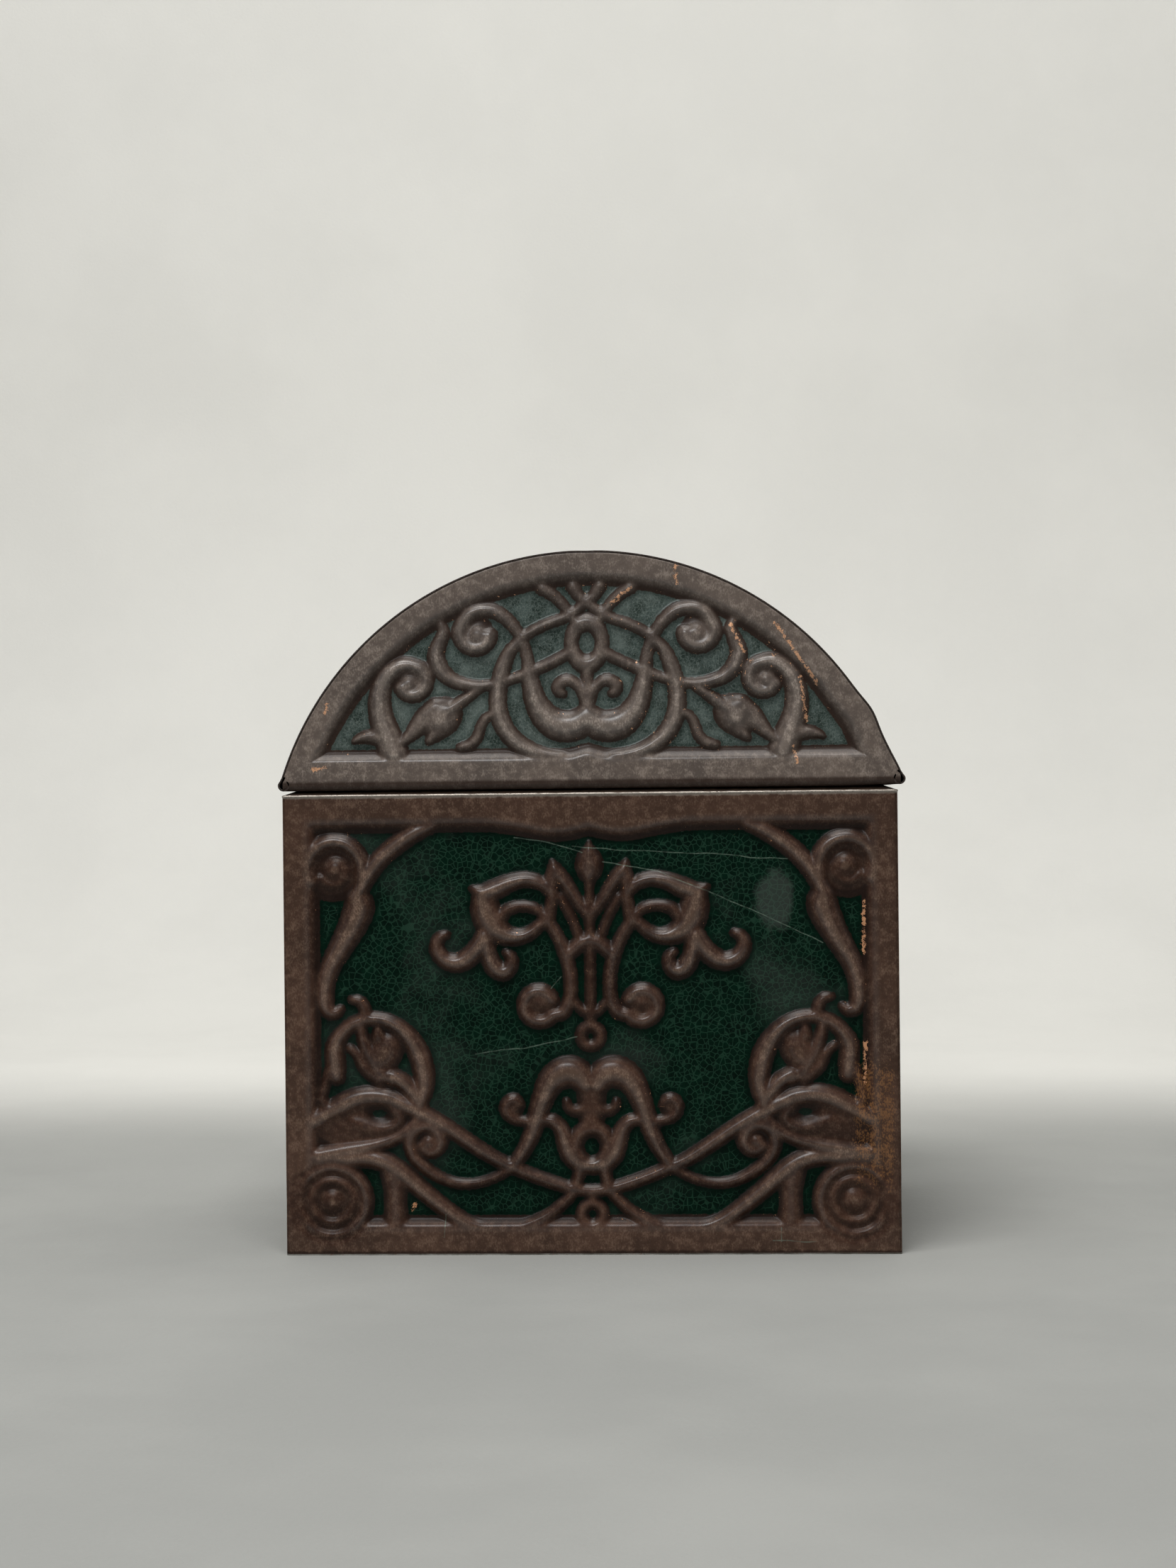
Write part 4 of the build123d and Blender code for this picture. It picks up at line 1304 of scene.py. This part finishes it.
MIDDLE = (0.0, 0.0, 0.11)
LAMPS = (  # place, what it faces, its two sizes, power in watts, colour
    ("overhead", (-0.10, -0.44, 1.20), MIDDLE, (0.7, 0.34), 11, (1.0, 0.985, 0.96)),
    ("high_window", (-0.22, -0.98, 0.80), MIDDLE, (0.5, 0.13), 3.6, (0.98, 0.99, 1.0)),
    ("window", (-1.5, -0.7, 0.9), MIDDLE, (0.8, 1.0), 1.5, (0.97, 0.99, 1.0)),
    ("far_side", (1.5, -0.5, 0.8), MIDDLE, (0.8, 1.0), 1.6, (1.0, 0.97, 0.92)),
    ("backdrop", (0.0, 0.15, 1.5), (0.0, 0.94, 0.35), (2.2, 0.5), 8.5, (1.0, 1.0, 0.98)),
)
ROOM_COLOUR = (0.80, 0.82, 0.82, 1)
ROOM_LIGHT, ROOM_SEEN = 0.10, 0.55  # how much the room lights things, and how much more of it shows


def make_lights(strength):
    """Soft rectangular lamps, each turned to face a place, in a dim pale room."""
    for name, place, aim, size, power, shade in LAMPS:
        data = bpy.data.lights.new(name, "AREA")
        data.shape = "RECTANGLE"
        data.size, data.size_y = size
        data.energy = power * strength
        data.color = shade
        made = bpy.data.objects.new(name, data)
        made.location = place
        made.rotation_euler = (Vector(place) - Vector(aim)).to_track_quat("Z", "Y").to_euler()
        bpy.context.scene.collection.objects.link(made)
    world = bpy.data.worlds.new("room")
    world.use_nodes = True
    seen = Wire(world.node_tree).node("LightPath")
    background = world.node_tree.nodes["Background"].inputs
    background[0].default_value = ROOM_COLOUR
    brightness = seen * ROOM_SEEN + ROOM_LIGHT * strength
    world.node_tree.links.new(brightness.socket, background[1])
    bpy.context.scene.world = world


def make_camera(settings):
    """A level camera that looks at the middle of the front wall and leans a little to one side."""
    aim = Vector((0.0, -HALF_DEPTH * MM, settings.aim_height))
    back = Vector((sin(settings.turn), -cos(settings.turn), 0.0))
    data = bpy.data.cameras.new("camera")
    data.lens = settings.lens
    data.sensor_width = 36.0
    data.dof.use_dof = False
    camera = bpy.data.objects.new("camera", data)
    camera.location = aim + back * settings.distance
    camera.rotation_mode = "QUATERNION"
    camera.rotation_quaternion = back.to_track_quat("Z", "Y") @ Quaternion((0, 0, 1), -settings.tilt)
    bpy.context.scene.collection.objects.link(camera)
    bpy.context.scene.camera = camera


# ---------------------------------------------------------------- operators
# A place on each side, from how far across it is as one looks at it, how deep behind the face and how high.
def front(x, depth, z):
    return stacked(x, depth - HALF_DEPTH, z)


def back(x, depth, z):
    return stacked(-x, HALF_DEPTH - depth, z)


def right(x, depth, z):
    return stacked(HALF_WIDTH - depth, x, z)


def left(x, depth, z):
    return stacked(depth - HALF_WIDTH, -x, z)


def panel_finishes(context, lacquer, colours, inside):
    """The finishes of a pressed panel's outside, cut edge and inside."""
    return [lacquer(colours), sheet_edge(colours), tinplate(inside, context.scene.casket_metal)]


class CASKET_OT_walls(bpy.types.Operator):
    """Press the box's four walls"""

    bl_idname = "casket.walls"
    bl_label = "Walls"

    def execute(self, context):
        materials = panel_finishes(context, box_lacquer, context.scene.casket_box, "tinplate_inside")
        for place, folded in ((front, True), (back, True), (right, False), (left, False)):
            side = place.__name__
            node = f"body_{side}_panel"
            wall_piece(f"{side}_wall", node, place, folded, context.scene.casket_shape, materials)
        return {"FINISHED"}


class CASKET_OT_collar(bpy.types.Operator):
    """Bend the shoulder and neck that stiffen the box's mouth"""

    bl_idname = "casket.collar"
    bl_label = "Shoulder and neck"

    def execute(self, context):
        collar_piece([dark_lacquer(context.scene.casket_metal)])
        return {"FINISHED"}


class CASKET_OT_lid(bpy.types.Operator):
    """Press the lid's arched ends and its cover"""

    bl_idname = "casket.lid"
    bl_label = "Lid"

    def execute(self, context):
        shape = context.scene.casket_shape
        materials = panel_finishes(context, lid_lacquer, context.scene.casket_lid, "tinplate_lid")
        lunette_piece("front_lunette", "lid_front_lunette", front, True, shape, materials)
        lunette_piece("back_lunette", "lid_back_lunette", back, False, shape, materials)
        cover_piece(shape, materials)
        return {"FINISHED"}


class CASKET_OT_fittings(bpy.types.Operator):
    """Finish the base, the hinge straps and the hinge wire"""

    bl_idname = "casket.fittings"
    bl_label = "Base and hinge"

    def execute(self, context):
        plain = tinplate("tinplate", context.scene.casket_metal)
        finishes = {"base_plate": plain, "hinge_strap_left": plain, "hinge_strap_right": plain}
        finishes["hinge_wire"] = steel_wire(context.scene.casket_metal)
        for name, finish in finishes.items():
            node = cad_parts[name]
            node.data.materials.clear()
            node.data.materials.append(finish)
        return {"FINISHED"}


class CASKET_OT_stage(bpy.types.Operator):
    """Set the floor, backdrop, lamps and camera"""

    bl_idname = "casket.stage"
    bl_label = "Stage"

    def execute(self, context):
        settings = context.scene.casket_stage
        make_stage(settings)
        make_lights(settings.light)
        make_camera(settings)
        context.scene.view_settings.view_transform = "Standard"
        return {"FINISHED"}


STEPS = (CASKET_OT_walls, CASKET_OT_collar, CASKET_OT_lid, CASKET_OT_fittings, CASKET_OT_stage)
GROUPS = {
    "casket_shape": CasketShape,
    "casket_box": CasketBoxColours,
    "casket_lid": CasketLidColours,
    "casket_metal": CasketMetalColours,
    "casket_stage": CasketStage,
}


class CASKET_PT_panel(bpy.types.Panel):
    """The casket's settings and steps"""

    bl_label = "Tinplate casket"
    bl_space_type = "VIEW_3D"
    bl_region_type = "UI"
    bl_category = "Casket"

    def draw(self, context):
        for name, group in GROUPS.items():
            box = self.layout.box()
            for setting in group.__annotations__:
                box.prop(getattr(context.scene, name), setting)
        for step in STEPS:
            self.layout.operator(step.bl_idname)


CLASSES = (*GROUPS.values(), *STEPS, CASKET_PT_panel)


def register():
    """Adds the settings, steps and panel to Blender."""
    for kind in CLASSES:
        bpy.utils.register_class(kind)
    for name, group in GROUPS.items():
        setattr(bpy.types.Scene, name, bpy.props.PointerProperty(type=group))


def unregister():
    """Takes them away again."""
    for name in GROUPS:
        delattr(bpy.types.Scene, name)
    for kind in reversed(CLASSES):
        bpy.utils.unregister_class(kind)


def main():
    """Runs every step in order."""
    register()
    for step in STEPS:
        area, name = step.bl_idname.split(".")
        if getattr(getattr(bpy.ops, area), name)() != {"FINISHED"}:
            raise RuntimeError(f"{step.bl_label} was not finished")
    bpy.context.view_layer.update()


if __name__ == "__main__":
    main()
